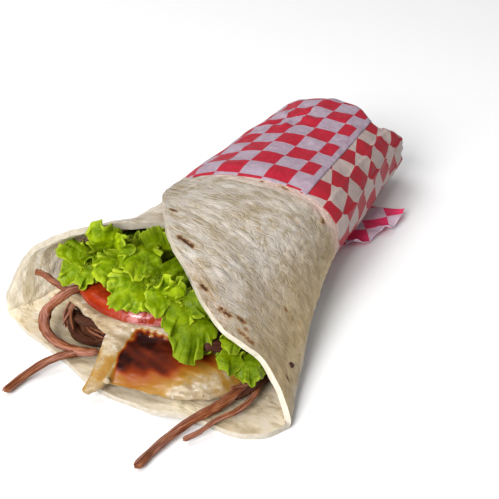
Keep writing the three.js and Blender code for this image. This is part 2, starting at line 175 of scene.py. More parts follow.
# A material that is painted up in steps. Its colours are screen colours from 0 to 255.
class Finish:
    def __init__(self, name, **sockets):
        self.material = bpy.data.materials.new(name)
        self.material.use_nodes = True
        self.tree = self.material.node_tree
        self.shader = self.tree.nodes["Principled BSDF"]
        for key, value in sockets.items():
            self.shader.inputs[key.replace("_", " ")].default_value = value

    def add(self, kind, inputs, **settings):
        made = self.tree.nodes.new("ShaderNode" + kind)
        for key, value in settings.items():
            setattr(made, key, value)
        for key, value in inputs.items():
            if isinstance(value, bpy.types.NodeSocket):
                self.tree.links.new(value, made.inputs[key])
            else:
                made.inputs[key].default_value = value
        return made

    def feed(self, socket, value):
        self.tree.links.new(value, self.shader.inputs[socket])

    def layer(self, name, output="Fac"):
        return self.add("Attribute", {}, attribute_name=name).outputs[output]

    def place(self):
        return self.add("TexCoord", {}).outputs["Object"]

    def speckle(self, vector, scale, detail=3.0, rough=0.5, warp=0.0, turn=0.0):
        if isinstance(scale, tuple):  # three scales stretch the noise
            laid = {"Vector": vector, "Scale": scale, "Rotation": (0.0, 0.0, turn)}
            vector, scale = self.add("Mapping", laid).outputs["Vector"], 1.0
        inputs = {"Vector": vector, "Scale": scale, "Detail": detail, "Roughness": rough, "Distortion": warp}
        return self.add("TexNoise", inputs).outputs["Fac"]

    def grains(self, vector, noises):
        return [self.speckle(vector, *values) for values in noises.values()]

    def figure(self, operation, *values):
        return self.add("Math", dict(enumerate(values)), operation=operation).outputs[0]

    def times(self, first, second):
        return self.figure("MULTIPLY", first, second)

    def fromHalf(self, value):  # how far a noise is from its middle
        return self.figure("ABSOLUTE", self.figure("SUBTRACT", value, 0.5))

    def spread(self, value, low, high, most=1.0):  # 0 at low, most at high, smooth between
        inputs = {"Value": value, "From Min": low, "From Max": high, "To Max": most}
        return self.add("MapRange", inputs, interpolation_type="SMOOTHSTEP").outputs[0]

    def blend(self, share, first, second, way="MIX"):
        first, second = [linear(*one) if isinstance(one, tuple) else one for one in (first, second)]
        return self.add("Mix", {0: share, 6: first, 7: second}, data_type="RGBA", blend_type=way).outputs[2]

    def ramp(self, factor, stops):  # stops of (place, colour)
        made = self.add("ValToRGB", {"Fac": factor})
        elements = made.color_ramp.elements
        while len(elements) < len(stops):
            elements.new(0.5)
        for element, (place, colour) in zip(elements, stops):
            element.position = place
            element.color = linear(*colour)
        return made.outputs["Color"]

    def paint(self, share, colour, way="MIX"):
        self.base = self.blend(share, self.base, colour, way)

    def close(self, *bumps):  # bumps of (height, strength, depth in mm), the coarsest first
        chain = {}
        for height, strength, depth in bumps:
            inputs = {"Height": height, "Strength": strength, "Distance": depth * mm, **chain}
            chain = {"Normal": self.add("Bump", inputs).outputs["Normal"]}
        self.feed("Normal", chain["Normal"])
        self.feed("Base Color", self.base)
        return self.material


# The roll and the tortilla's rim, as the solids have them
roll = {
    "middle": (4.5, 4.0),  # front edge of the paper, far end
    "halfWidth": (39.0, 32.0),
    "halfHeight": (20.8, 19.8),
    "squareness": 2.25,
    "flattening": 1.2,
    "tilt": 0.07,
    "length": 94.0,
}
rim = [  # angle round the roll in degrees, then x, y, z
    (62, 16, -47, 36), (100, -6, -51.5, 41), (120, -22.5, -67, 43.5), (140, -35, -73.5, 40.5),
    (165, -49.5, -76, 30.5), (190, -56, -82, 15), (203, -57, -83, 6), (215, -50, -84.5, 1.8),
    (245, -25, -93, 1.1), (262, -5, -101, 1.1), (276, 15, -103, 1.2), (286, 26, -102.5, 3),
    (295, 35, -100, 1.8), (306, 47, -100, 1.1), (320, 57.5, -96.5, 1.1), (331, 63, -88.5, 1.4),
    (338, 61.5, -85.5, 5), (350, 56.5, -83, 12), (364, 49, -81, 19.5), (388, 38, -84, 28),
    (410, 27, -79.5, 34), (430, 15, -71, 40), (450, 3, -62, 45), (470, -13, -40, 43),
    (482, -21.5, -25, 37.8), (495, -26, -3, 32),
]


def signedPower(value, power):
    return math.copysign(abs(value) ** power, value)


def rollPoint(angle, y, inset):
    along = min(max(y / roll["length"], 0.0), 1.0)
    halfWidth, halfHeight = mix(*roll["halfWidth"], along), mix(*roll["halfHeight"], along)
    turn = math.radians(angle)
    side = (halfWidth - inset) * signedPower(math.cos(turn), 2 / roll["squareness"])
    rise = (halfHeight - inset) * signedPower(math.sin(turn), 2 / roll["squareness"])
    height = max(halfHeight - roll["flattening"] + rise, inset)
    lean = roll["tilt"] * side * height / (2 * halfHeight)
    return Vector((mix(*roll["middle"], along) + side, y, height + lean))


def rimPoint(angle):
    index = min(max(sum(row[0] < angle for row in rim), 1), len(rim) - 1)
    span = rim[index][0] - rim[index - 1][0]

    def flow(i):
        before, after = rim[max(i - 1, 0)], rim[min(i + 1, len(rim) - 1)]
        return (Vector(after[1:]) - Vector(before[1:])) * (span / (after[0] - before[0]))

    start, end = Vector(rim[index - 1][1:]), Vector(rim[index][1:])
    return curve(start, flow(index - 1), end, flow(index), (angle - rim[index - 1][0]) / span)


tortilla = {
    "thickness": 2.2,
    "inPaper": 1.15,       # outside of the tortilla, in from the outside of the paper
    "hiddenEnd": 68.0,
    "overlap": 3.1,        # how much deeper the sheet starts, under its own flap
    "tuck": (130, 235),    # angles over which it comes up from there
    "flare": (1.575, 0.425, 350),  # power, its swing, the angle that flares first
    "lift": 1.15,
    "settle": (0.03, 0.16),
    "unevenRim": 0.006,
    "columns": 340,
    "hiddenRows": 14,
    "openRows": 118,
    "round": 0.65,         # mm of girth for each degree
    "run": 90.0,           # mm from the paper to the rim
    "flapFrom": 320,       # angle
    "driftFrom": 345,
    "drift": 0.05,         # how far wrinkles slide towards the mouth as they go down the right side
    "folds": 0.55,
    "waves": 1.0,
    "creases": [(404, 384, 0.2), (396, 366, 0.16)],  # right shoulder: angle at the paper, at the rim, depth
    "corner": (203, 1.1),  # sharp fold where the left wall meets the table
    "softEdge": 0.7,
    "toast": [  # browned strokes on the flap: x and y of both ends, half width, how dark
        (6.3, -60.7, 11.0, -60.7, 1.3, 1.0), (-19.8, -21.5, -18.3, -20.9, 1.1, 0.9),
        (-20.8, -15, -18.3, -18.5, 2.6, 0.35), (-6.6, -44.5, -4.8, -44.8, 1.1, 1.0),
        (-11, -35, -8.5, -35, 1.0, 0.4), (-3.8, -48.5, -2.0, -48.6, 1.0, 0.4),
        (23, -74, 24.4, -74, 1.1, 0.95), (32.4, -77.5, 34.8, -77.8, 1.6, 0.8),
        (37.7, -75.8, 39.2, -75.6, 1.0, 0.9), (41, -77.2, 41.2, -77.3, 1.0, 0.7),
        (39.8, -80, 44.4, -79.8, 1.3, 0.65), (22.9, -32.4, 24.8, -32.5, 0.7, 0.55),
        (9.5, -2.4, 10, -2.4, 1.0, 0.8), (17.6, -1.6, 20.5, -2.0, 1.6, 0.6),
        (29, -17.8, 31.8, -17.3, 1.5, 0.4), (37.2, -5, 37.6, -6.8, 1.1, 0.7),
        (44.9, -54.2, 45.2, -54.4, 0.9, 0.8), (56.2, -76.1, 56.4, -76.2, 0.9, 0.9),
        (26.5, -27, 27.3, -27.2, 0.9, 0.4), (13, -21.5, 15, -21.4, 1.2, 0.35),
    ],
    "toastReach": 1.7,     # half widths over which a stroke fades
    "toastShades": [  # shares over which it turns so brown, how strongly, colour
        (0.15, 0.5, 0.6, (164, 128, 76)), (0.42, 0.66, 1.0, (118, 76, 34)), (0.66, 0.95, 1.0, (58, 33, 16)),
    ],
    "tanRim": 0.32,
    "strayToast": 46,      # further spots all over the sheet
    "strayStrength": 0.75,
    "shadedSpot": (8, -102, 2, 6),       # spots on the table, with more and with less painted shade: x, y, how much longer across, size
    "unshadedSpot": (32, -97, 1.6, 6),
    "warmShadeTint": (246, 230, 192),  # painted warm shade on the lower right side of the flap
    "shadeTint": (228, 227, 227),   # painted shade on the right side of the flap, and on its top by the paper
    # painted shade in the valleys of the wrinkles and along thin creases
    "creaseShade": (158, 139, 98),
    "floury": (222, 215, 204),
    # painted shade on the part that lies on the table
    "floor": (228, 226, 226),
    "shadedRim": (216, 213, 208),
    # painted pink light thrown by the red paper, by its front edge
    "pinkFromPaper": (222, 186, 178),
    "crumb": [(0.3, (194, 184, 164)), (0.7, (215, 208, 194))],
    "leftWall": [(0.34, (203, 188, 151)), (0.6, (250, 243, 225))],  # painted light and shade of upright folds inside it
    "outside": [(177, 163, 143), (197, 186, 171), (211, 203, 193)],
    # warmer and lighter than the outside: painted warm light bouncing inside the roll
    "inside": [(206, 186, 150), (222, 207, 176), (232, 221, 196)],
    "grains": {  # scale, detail, roughness, warp
        "patches": (0.17, 4.0, 0.6), "flow": ((0.1, 0.19, 1.0), 2.0, 0.45, 0.9),
        "net": ((0.13, 0.25, 1.0), 1.0, 0.5, 1.1), "fine": ((0.2, 0.42, 1.0), 3.0, 0.5, 0.8),
        "broad": (0.055, 3.0), "flour": ((1.0, 1.6, 1.0), 4.0, 0.7), "torn": ((0.55, 1.2, 1.0), 4.0, 0.65),
        "bubbles": (0.33, 3.0, 0.5),
    },
    "streaks": ((0.035, 0.3, 1.0), 2.5, 0.5, 0.6),
    "seed": 7,
}


@functools.cache
def tortillaRib(angle):
    sunk = tortilla["overlap"] * (1 - ease(*tortilla["tuck"], angle))
    inset = tortilla["inPaper"] + tortilla["thickness"] / 2 + sunk
    power, swing, earliest = tortilla["flare"]
    power -= swing * math.cos(math.radians(angle - earliest))
    return inset, rollPoint(angle, 0, inset), rimPoint(angle), power


def tortillaAngle(u):
    return mix(rim[0][0], rim[-1][0], u)


# 0 at the paper's front edge, 1 at the rim, below 0 in the paper
def tortillaPart(v):
    hidden = tortilla["hiddenRows"] / (tortilla["hiddenRows"] + tortilla["openRows"])
    return v / hidden - 1 if v < hidden else (v - hidden) / (1 - hidden)


def tortillaPoint(u, v):
    angle, part = tortillaAngle(u), tortillaPart(v)
    inset, waist, edge, power = tortillaRib(angle)
    if part < 0:
        return rollPoint(angle, -part * tortilla["hiddenEnd"], inset)
    part *= 1 + tortilla["unevenRim"] * grain(angle / 9)
    flare = part ** power
    lowest = tortilla["thickness"] / 2 + tortilla["lift"] * (1 - ease(*tortilla["settle"], part))
    point = waist.lerp(edge, flare)
    return Vector((point.x, mix(waist.y, edge.y, part), max(point.z, lowest)))


def tortillaOnFloor(angle):
    return ease(205, 225, angle) * (1 - ease(322, 345, angle))


# Wrinkles run round the roll, and slant where the flap comes down over the right side
def wrinkleRun(angle, along):
    return along + tortilla["drift"] * max(0.0, angle - tortilla["driftFrom"]) * tortilla["round"]


# Fine wrinkles and a few lengthwise creases. along is in mm from the paper's front edge.
def tortillaRelief(angle, part, along):
    around = angle * tortilla["round"]
    skew = wrinkleRun(angle, along) + 3 * grain(around / 14, along / 14, 4)
    relief = tortilla["folds"] * (1.2 * abs(grain(around / 10, skew / 5, 1)) - 0.35)
    relief += 0.5 * tortilla["folds"] * grain(around / 7, skew / 3.6, 5)
    relief += tortilla["waves"] * grain(around / 30, along / 24, 9)
    for atPaper, atRim, depth in tortilla["creases"]:
        meander = 2.5 * grain(along / 16, atRim) + 0.8 * grain(along / 5, atRim)
        away = (angle - mix(atPaper, atRim, part)) * tortilla["round"] + meander
        fading = ease(0, 0.12, part) * (1 - ease(0.45, 0.85, part)) * (0.7 + 0.6 * grain(along / 10, atPaper))
        relief += depth * (0.6 * bell(away - 1.8, 1.4) - bell(away, 1.0)) * fading
    corner, depth = tortilla["corner"]
    away = (angle - corner) * tortilla["round"] - 2 * grain(along / 12, 3)
    relief += depth * bell(away, 1.3) * ease(0.45, 0.85, part)
    return relief * (1 - 0.75 * tortillaOnFloor(angle)) * ease(-0.05, 0.06, part)


def strokeDistance(at, ends):  # seen from above, to the nearest point of a straight stroke
    start, along = Vector(ends[:2]), Vector(ends[2:]) - Vector(ends[:2])
    share = (at.xy - start).dot(along) / along.length_squared
    return (at.xy - start - along * min(max(share, 0.0), 1.0)).length


def spotShare(at, spot):
    x, y, longer, size = spot
    return bell(math.hypot((at.x - x) / longer, at.y - y), size)


# How strongly each finish and each painted light or shade shows at a point, in the order of the layers in
# makeTortilla
def tortillaShares(at, angle, part, stray):
    along = -at.y
    toast = [tortilla["strayStrength"]
             - math.hypot((angle - a) * tortilla["round"] * 0.6, along - p * tortilla["run"]) / size
             for a, p, size in stray]
    if angle > tortilla["flapFrom"]:
        toast += [dark * (1 - strokeDistance(at, ends) / (tortilla["toastReach"] * wide))
                  for *ends, wide, dark in tortilla["toast"]]
        byRim = ease(378, 395, angle) * ease(445, 425, angle) * ease(0.84, 0.95, part)
        toast.append(tortilla["tanRim"] * byRim)
    onFloor = tortillaOnFloor(angle)
    rightSide = ease(440, 405, angle) * ease(345, 365, angle)
    topByPaper = ease(400, 430, angle) * ease(42, 16, along)
    return (
        max(0.0, *toast),
        # painted pink light from the red paper, by its front edge
        1 - ease(0.0, 0.11, part),
        # painted warm shade low on the right side of the flap
        ease(410, 350, angle) * ease(325, 345, angle),
        # on the table, with less painted shade at one spot
        onFloor * (1 - spotShare(at, tortilla["unshadedSpot"])),
        # painted shade on the right side, on the top by the paper, and at one spot on the table
        max(rightSide, topByPaper, onFloor * spotShare(at, tortilla["shadedSpot"])),
        # painted light and shade of the folds on the inside of the left wall
        0.8 * ease(206, 198, angle) * ease(0.2, 0.5, part),
        max(ease(385, 420, angle), ease(203, 190, angle)),
    )


def tortillaFinish(name, shades):
    finish = Finish(name, Roughness=0.7, Subsurface_Weight=0.1, Subsurface_Scale=0.002,
                    Subsurface_Radius=(1.0, 0.6, 0.35))
    flat = finish.layer("flat", "Vector")
    patches, flow, net, fine, broad, flour, torn, bubbles = finish.grains(flat, tortilla["grains"])
    onFloor, leftWall = finish.layer("onFloor"), finish.layer("leftWall")
    warmShade = finish.layer("warmShade")
    smooth = finish.figure("MAXIMUM", onFloor, finish.times(warmShade, 0.6))
    smooth = finish.figure("MAXIMUM", smooth, leftWall)
    creased = finish.figure("MULTIPLY_ADD", finish.spread(patches, 0.62, 0.42), 0.75, 0.25)
    creased = finish.times(creased, finish.figure("SUBTRACT", 1.0, smooth))
    crease = finish.times(finish.spread(finish.fromHalf(net), 0.09, 0.0), creased)
    dark, middle, light = shades
    finish.base = finish.ramp(broad, [(0.3, dark), (0.52, middle), (0.75, light)])
    finish.paint(finish.spread(fine, 0.48, 0.3, 0.3), dark)
    finish.paint(finish.spread(patches, 0.52, 0.68, 0.42), tortilla["floury"])
    # painted shade in the valleys of the wrinkles and along thin creases
    creaseShade = finish.spread(finish.fromHalf(flow), 0.1, 0.0)
    finish.paint(finish.times(creaseShade, finish.spread(patches, 0.6, 0.42, 0.6)), tortilla["creaseShade"])
    thin = finish.times(finish.spread(crease, 0.55, 1.0), finish.spread(patches, 0.62, 0.45, 0.45))
    finish.paint(thin, tortilla["creaseShade"])
    finish.paint(finish.spread(flour, 0.5, 0.7, 0.25), light)
    # painted warm shade low on the right side of the flap
    finish.paint(warmShade, tortilla["warmShadeTint"], "MULTIPLY")
    # painted shade on the right side of the flap and on its top by the paper
    finish.paint(finish.layer("paintedShade"), tortilla["shadeTint"], "MULTIPLY")
    # painted shade where the sheet lies on the table
    finish.paint(onFloor, tortilla["floor"], "MULTIPLY")
    # painted light and shade of upright folds on the inside of the left wall
    if name == "tortilla_inside":
        streaks = finish.speckle(flat, *tortilla["streaks"])
        finish.paint(leftWall, finish.ramp(streaks, tortilla["leftWall"]))
    # painted pink light from the red paper
    finish.paint(finish.times(finish.layer("pinkFromPaper"), 0.6), tortilla["pinkFromPaper"])
    ragged = finish.times(finish.layer("toast"), finish.figure("MULTIPLY_ADD", torn, 3.0, -0.4))
    for low, high, most, colour in tortilla["toastShades"]:
        finish.paint(finish.spread(ragged, low, high, most), colour)
    uneven = finish.times(fine, finish.figure("SUBTRACT", 1.0, onFloor))
    return finish.close((bubbles, 0.35, 0.9), (uneven, 0.4, 1.0), (crease, 0.45, -0.4), (flour, 0.35, 0.4))


def tortillaEdgeFinish():
    finish = Finish("tortilla_edge", Roughness=0.85)
    crumb = finish.speckle(finish.place(), 420.0, 3.0, 0.6)
    finish.base = finish.ramp(crumb, tortilla["crumb"])
    # painted shade where the sheet lies on the table
    finish.paint(finish.layer("onFloor"), tortilla["floor"], "MULTIPLY")
    finish.paint(finish.layer("shadedRim"), tortilla["shadedRim"], "MULTIPLY")
    return finish.close((crumb, 0.3, 0.4))


def makeTortilla():
    draws = random.Random(tortilla["seed"])
    stray = [(draws.uniform(rim[0][0], rim[-1][0]), draws.uniform(0.02, 1.0), draws.uniform(0.8, 2.2))
             for _ in range(tortilla["strayToast"])]
    stray = [spot for spot in stray if spot[0] <= tortilla["flapFrom"]]
    bm = bmesh.new()
    layers = addLayers(bm, "toast", "pinkFromPaper", "warmShade", "onFloor", "paintedShade", "leftWall", "shadedRim")
    rows = tortilla["hiddenRows"] + tortilla["openRows"]
    verts = bentGrid(bm, tortilla["columns"], rows, tortillaPoint)
    flat = bm.verts.layers.float_vector["flat"]
    for vert in verts:
        u, v, _ = vert[flat]
        angle, part, along = tortillaAngle(u), tortillaPart(v), -vert.co.y
        for layer, share in zip(layers, tortillaShares(vert.co, angle, part, stray)):
            vert[layer] = share
        vert[flat] = (angle * tortilla["round"], wrinkleRun(angle, along), part)
        vert.co += vert.normal * tortillaRelief(angle, part, along)
        vert.co.z = max(vert.co.z, tortilla["thickness"] / 2)
    bm.normal_update()
    wall = BVHTree.FromBMesh(bm)
    finishes = [tortillaFinish("tortilla_outside", tortilla["outside"]),
                tortillaFinish("tortilla_inside", tortilla["inside"]), tortillaEdgeFinish()]
    piece = makePiece(bm, "tortilla_sheet", finishes, "tortilla", "tortilla")
    thicken(piece, tortilla["thickness"], 0.0, 1, 2)
    softEdge = piece.modifiers.new("soft edge", "BEVEL")
    softEdge.width = tortilla["softEdge"] * mm
    softEdge.segments = 3
    softEdge.limit_method = "ANGLE"
    softEdge.angle_limit = math.radians(55)
    return wall


paper = {
    "thickness": 0.16,
    "seamAngle": 54.0,
    "underlap": 24.0,      # degrees that the sheet runs on under its own free edge
    "seamLift": 0.1,
    "seamSink": 0.14,
    "hug": 1.0,            # how far the front edge closes on the tortilla
    "endRound": 10.0,
    "roundShare": 0.4,     # of the end's rows, for its round shoulder
    "endRun": 38.0,        # mm of print from the wall's end to the middle of the far end
    "dent": (47.0, 12.0, 22.0),  # angle, depth, spread
    "columns": 260,
    "wallRows": 70,
    "endRows": 44,
    "pleats": [(-52, 3.2), (-20, 2.8), (16, 3.4), (47, 4.4), (88, 3.0), (124, 3.6), (160, 3.0), (205, 3.2),
               (250, 3.0), (284, 2.8)],  # angle, depth
    "tuckIn": 5.0,
    "twist": 28.0,
    "girthAt": 40.0,       # mm along the roll where the print is measured round it
    "check": 10.3,
    "border": 2.8,
    "topOffset": (8.8, 1.3),
    "skewTurn": 20.0,
    "skewPivot": (385.0, 40.0),
    "flankPleats": [(398, 2.5), (376, 3.5), (352, 2.0)],  # angle, mm of print that they take in
    "pinch": (-8.0, 61.0, 9.0),   # x, y, size
    "pinchTop": 25.0,             # only above this height
    "crush": (33.0, 84.0, 22.0),  # crumpled spot at the far right
    "crushSize": 13.0,
    "corner": {"from": 22, "to": 64, "root": 14, "reach": (36, 42.5, 46.5, 48.5, 48), "height": 0.45,
               "rise": 4.5, "waves": 2.5, "steady": 0.45, "columns": 90, "rows": 50},
    "red": [(160, 22, 42), (172, 29, 51)],
    "white": [(157, 139, 154), (168, 151, 163), (144, 94, 112)],
    # lighter print for the loose corner, which lies in shade: painted light
    "litCornerRed": [(228, 58, 104), (236, 66, 112)],
    "litCornerWhite": [(214, 190, 208), (222, 200, 214), (206, 150, 176)],
    # darker, beige print on the right flank: partly the tortilla showing through, partly painted shade
    "underWhite": (176, 158, 148),
    "underRed": (156, 32, 44),
    "grains": {"smear": (0.4, 3.0, 0.6), "fibre": (2.2, 4.0, 0.65), "crinkle": (0.22, 4.0, 0.6)},
}
wallShare = paper["wallRows"] / (paper["wallRows"] + paper["endRows"])


def paperAngle(u):
    return paper["seamAngle"] + (360 + paper["underlap"]) * u


def paperLift(u):  # the free edge lies on top, the sheet's start lies under it
    around = (360 + paper["underlap"]) * u
    return paper["seamLift"] * (1 - ease(0, 300, around)) - paper["seamSink"] * ease(330, 360, around)


def paperLength(angle):  # to the far end, which is dented at its upper right
    dentAngle, dentDepth, dentSpread = paper["dent"]
    return roll["length"] - dentDepth * bell(apart(angle, dentAngle), dentSpread)


def paperPoint(u, v):
    angle = paperAngle(u)
    offFloor = ease(-0.9, -0.3, math.sin(math.radians(angle)))
    length = paperLength(angle)
    inset = -paperLift(u) * offFloor
    if v < wallShare:
        y = (length - paper["endRound"]) * (v / wallShare)
        front = 1.1 * grain(angle / 14, 2) - 0.5 + 0.5 * math.cos(math.radians(angle))
        inset += paper["hug"] * (1 - ease(0, 7, y)) * offFloor
        return rollPoint(angle, y + front * (1 - ease(0, 20, y)), inset)
    part = (v - wallShare) / (1 - wallShare)
    roundShare = paper["roundShare"]
    bend = min(part / roundShare, 1.0) * math.pi / 2
    y = length - paper["endRound"] * (1 - math.sin(bend))
    edge = rollPoint(angle, y, inset + paper["endRound"] * (1 - math.cos(bend)))
    closing = max(part - roundShare, 0.0) / (1 - roundShare)
    hub = Vector((roll["middle"][1], roll["length"] - paper["tuckIn"], roll["halfHeight"][1]))
    spoke = (edge - hub) * (1 - closing)
    spoke.x, spoke.z = turned(spoke.x, spoke.z, math.radians(paper["twist"]) * closing ** 2)
    fold = sum(depth * (bell(apart(angle, at), 5.5) - 0.35 * bell(apart(angle, at - 14), 8))
               for at, depth in paper["pleats"])
    point = hub + spoke
    point.y -= fold * ease(0.1, 0.55, part) * (1 - 0.5 * closing)
    return point


@functools.cache
def girths():  # mm round the paper at every degree from its free edge
    steps = range(int(360 + paper["underlap"]) + 3)
    ring = [rollPoint(paper["seamAngle"] + step, paper["girthAt"], 0) for step in steps]
    sums = [0.0]
    for first, second in zip(ring, ring[1:]):
        sums.append(sums[-1] + (second - first).length)
    return sums


def girthTo(angle):
    step = angle - paper["seamAngle"]
    return mix(girths()[int(step)], girths()[int(step) + 1], step - int(step))


def crushShare(at):
    return bell((at - Vector(paper["crush"])).length, paper["crushSize"])


# Where a point lies on the flat printed sheet. The top is square to the roll, the right flank askew.
def sheetPlace(u, v, at):
    angle = paperAngle(u)
    around, along = girthTo(angle), at.y
    if v >= wallShare:
        along = paperLength(angle) - paper["endRound"] + paper["endRun"] * (v - wallShare) / (1 - wallShare)
    plain = Vector((around - paper["topOffset"][0], along - paper["topOffset"][1]))
    pivot = Vector((girthTo(paper["skewPivot"][0]), paper["skewPivot"][1]))
    across = around - pivot.x
    for pleat, taken in paper["flankPleats"]:
        across += taken * ease(pleat - 1.2, pleat + 1.2, angle)
    skew = Vector(turned(across, along - pivot.y, math.radians(paper["skewTurn"]))) + pivot
    if at.z > paper["pinchTop"]:
        x, y, size = paper["pinch"]
        near = 5 * bell(math.hypot(at.x - x, at.y - y), 1.1 * size)
        plain += Vector((grain(at.x / 6, at.y / 6, 7), grain(at.x / 6, at.y / 6, 2))) * near
    skew += Vector((grain(at.y / 7, at.z / 5, 3), grain(at.y / 7, at.z / 5, 8))) * (6 * crushShare(at))
    return plain.lerp(skew, ease(150, 320, angle)), around


# Crisp low facets, as handled paper has
def paperRelief(at, angle):
    distances, _ = noise.voronoi(Vector((at.x / 15, at.y / 21, at.z / 15)))
    relief = 0.55 * (0.5 - ease(0.0, 0.45, distances[1] - distances[0]))
    relief += 0.8 * grain(at.x / 16, at.y / 26, at.z / 16)
    if at.z > paper["pinchTop"]:
        x, y, size = paper["pinch"]
        away = math.hypot(at.x - x, at.y - y)
        rays = math.cos(5 * math.atan2(at.y - y, at.x - x) + 0.6)
        relief -= 0.7 * bell(away, 0.6 * size)
        relief += 1.1 * max(rays, 0.0) * bell(away - 0.9 * size, 0.8 * size)
    relief += 1.6 * crushShare(at) * (abs(grain(at.y / 5, at.z / 4, 5)) - 0.2)
    for pleat, taken in paper["flankPleats"]:
        off = (angle - pleat) * 0.54 + 0.8 * grain(at.y / 14, pleat)
        relief += 0.22 * taken * (ease(-3.5, -0.2, off) - ease(-0.2, 0.5, off))
    return max(relief, -0.6)


def paperChecks(finish, flat, shift, turn):
    size = 1 / paper["check"]
    inputs = {"Vector": flat, "Scale": (size, size, 0.0), "Location": shift, "Rotation": (0.0, 0.0, turn)}
    laid = finish.add("Mapping", inputs).outputs["Vector"]
    return finish.add("TexChecker", {"Vector": laid, "Scale": 1.0}).outputs["Fac"]


def paperFinish(name, reds, whites):
    finish = Finish(name, Roughness=0.5, Specular_IOR_Level=0.2)
    flat = finish.layer("flat", "Vector")
    smear, fibre, crinkle = finish.grains(flat, paper["grains"])
    squares = paperChecks(finish, flat, (0.0, 0.0, 1.5), 0.0)
    ghost = paperChecks(finish, flat, (0.37, 0.61, 0.5), 0.5)  # print that shows through from below
    # darker, beige print on the right flank: partly the tortilla showing through, partly painted shade
    under = finish.layer("under")
    red = finish.blend(finish.spread(smear, 0.35, 0.7), *reds)
    red = finish.blend(under, red, paper["underRed"])
    plain, bright, showThrough = whites
    white = finish.blend(finish.times(ghost, 0.16), plain, showThrough)
    white = finish.blend(finish.spread(smear, 0.4, 0.7), white, bright)
    white = finish.blend(under, white, paper["underWhite"])
    inPrint = finish.spread(finish.layer("fromEdge"), paper["border"] - 0.15, paper["border"] + 0.15)
    finish.base = finish.blend(finish.times(squares, inPrint), white, red)
    return finish.close((crinkle, 0.45, 1.2), (fibre, 0.25, 0.12))


def paperCornerPoint(u, v):
    corner = paper["corner"]
    edge = pathPoint([Vector((x, i, 0)) for i, x in enumerate(corner["reach"])], u).x
    turn = u * corner["waves"] * 2 * math.pi
    small = 0.7 * math.sin(u * 31 + 3 * v) * v ** 2
    y = mix(corner["from"], corner["to"], u) + 1.6 * v ** 2 * math.sin(turn + 1.2)
    wave = mix(corner["steady"], 1.0, 0.5 + 0.5 * math.sin(turn))
    z = corner["height"] + corner["rise"] * v ** 3 * wave + max(small, -0.3)
    return Vector((mix(corner["root"], edge, v) + 0.8 * grain(u * 9, 4) * v, y, z))


def makePaper():
    bm = bmesh.new()
    edgeLayer, underLayer = addLayers(bm, "fromEdge", "under")
    verts = bentGrid(bm, paper["columns"], paper["wallRows"] + paper["endRows"], paperPoint)
    flat = bm.verts.layers.float_vector["flat"]
    bmesh.ops.reverse_faces(bm, faces=bm.faces)
    bm.normal_update()
    for vert in verts:
        u, v, _ = vert[flat]
        angle = paperAngle(u)
        place, vert[edgeLayer] = sheetPlace(u, v, vert.co)
        vert[flat] = (place.x, place.y, 0.0)
        # the right flank's darker print: partly show-through, partly painted shade
        vert[underLayer] = 0.8 * ease(300, 330, angle)
        calm = mix(0.15, 1.0, ease(0.0, 0.06, v))
        offFloor = mix(0.1, 1.0, ease(-0.9, -0.4, math.sin(math.radians(angle))))
        vert.co += vert.normal * paperRelief(vert.co, angle) * calm * offFloor
        vert.co.z = max(vert.co.z, 0.05)
    corner = bentGrid(bm, paper["corner"]["columns"], paper["corner"]["rows"], paperCornerPoint)
    for vert in corner:
        vert[flat] = (vert.co.x * 0.8 + vert.co.y * 0.5 + 31, vert.co.y * 0.9 - vert.co.x * 0.45, 0.0)
        vert[edgeLayer] = 50.0
    # the corner takes the lighter print: painted light
    for face in {face for vert in corner for face in vert.link_faces}:
        face.material_index = 1
    finishes = [paperFinish("checked_paper", paper["red"], paper["white"]),
                paperFinish("checked_paper_corner_lit", paper["litCornerRed"], paper["litCornerWhite"])]
    piece = makePiece(bm, "paper_sheet", finishes, "paper", "paper_wrapper")
    thicken(piece, paper["thickness"], -1.0)


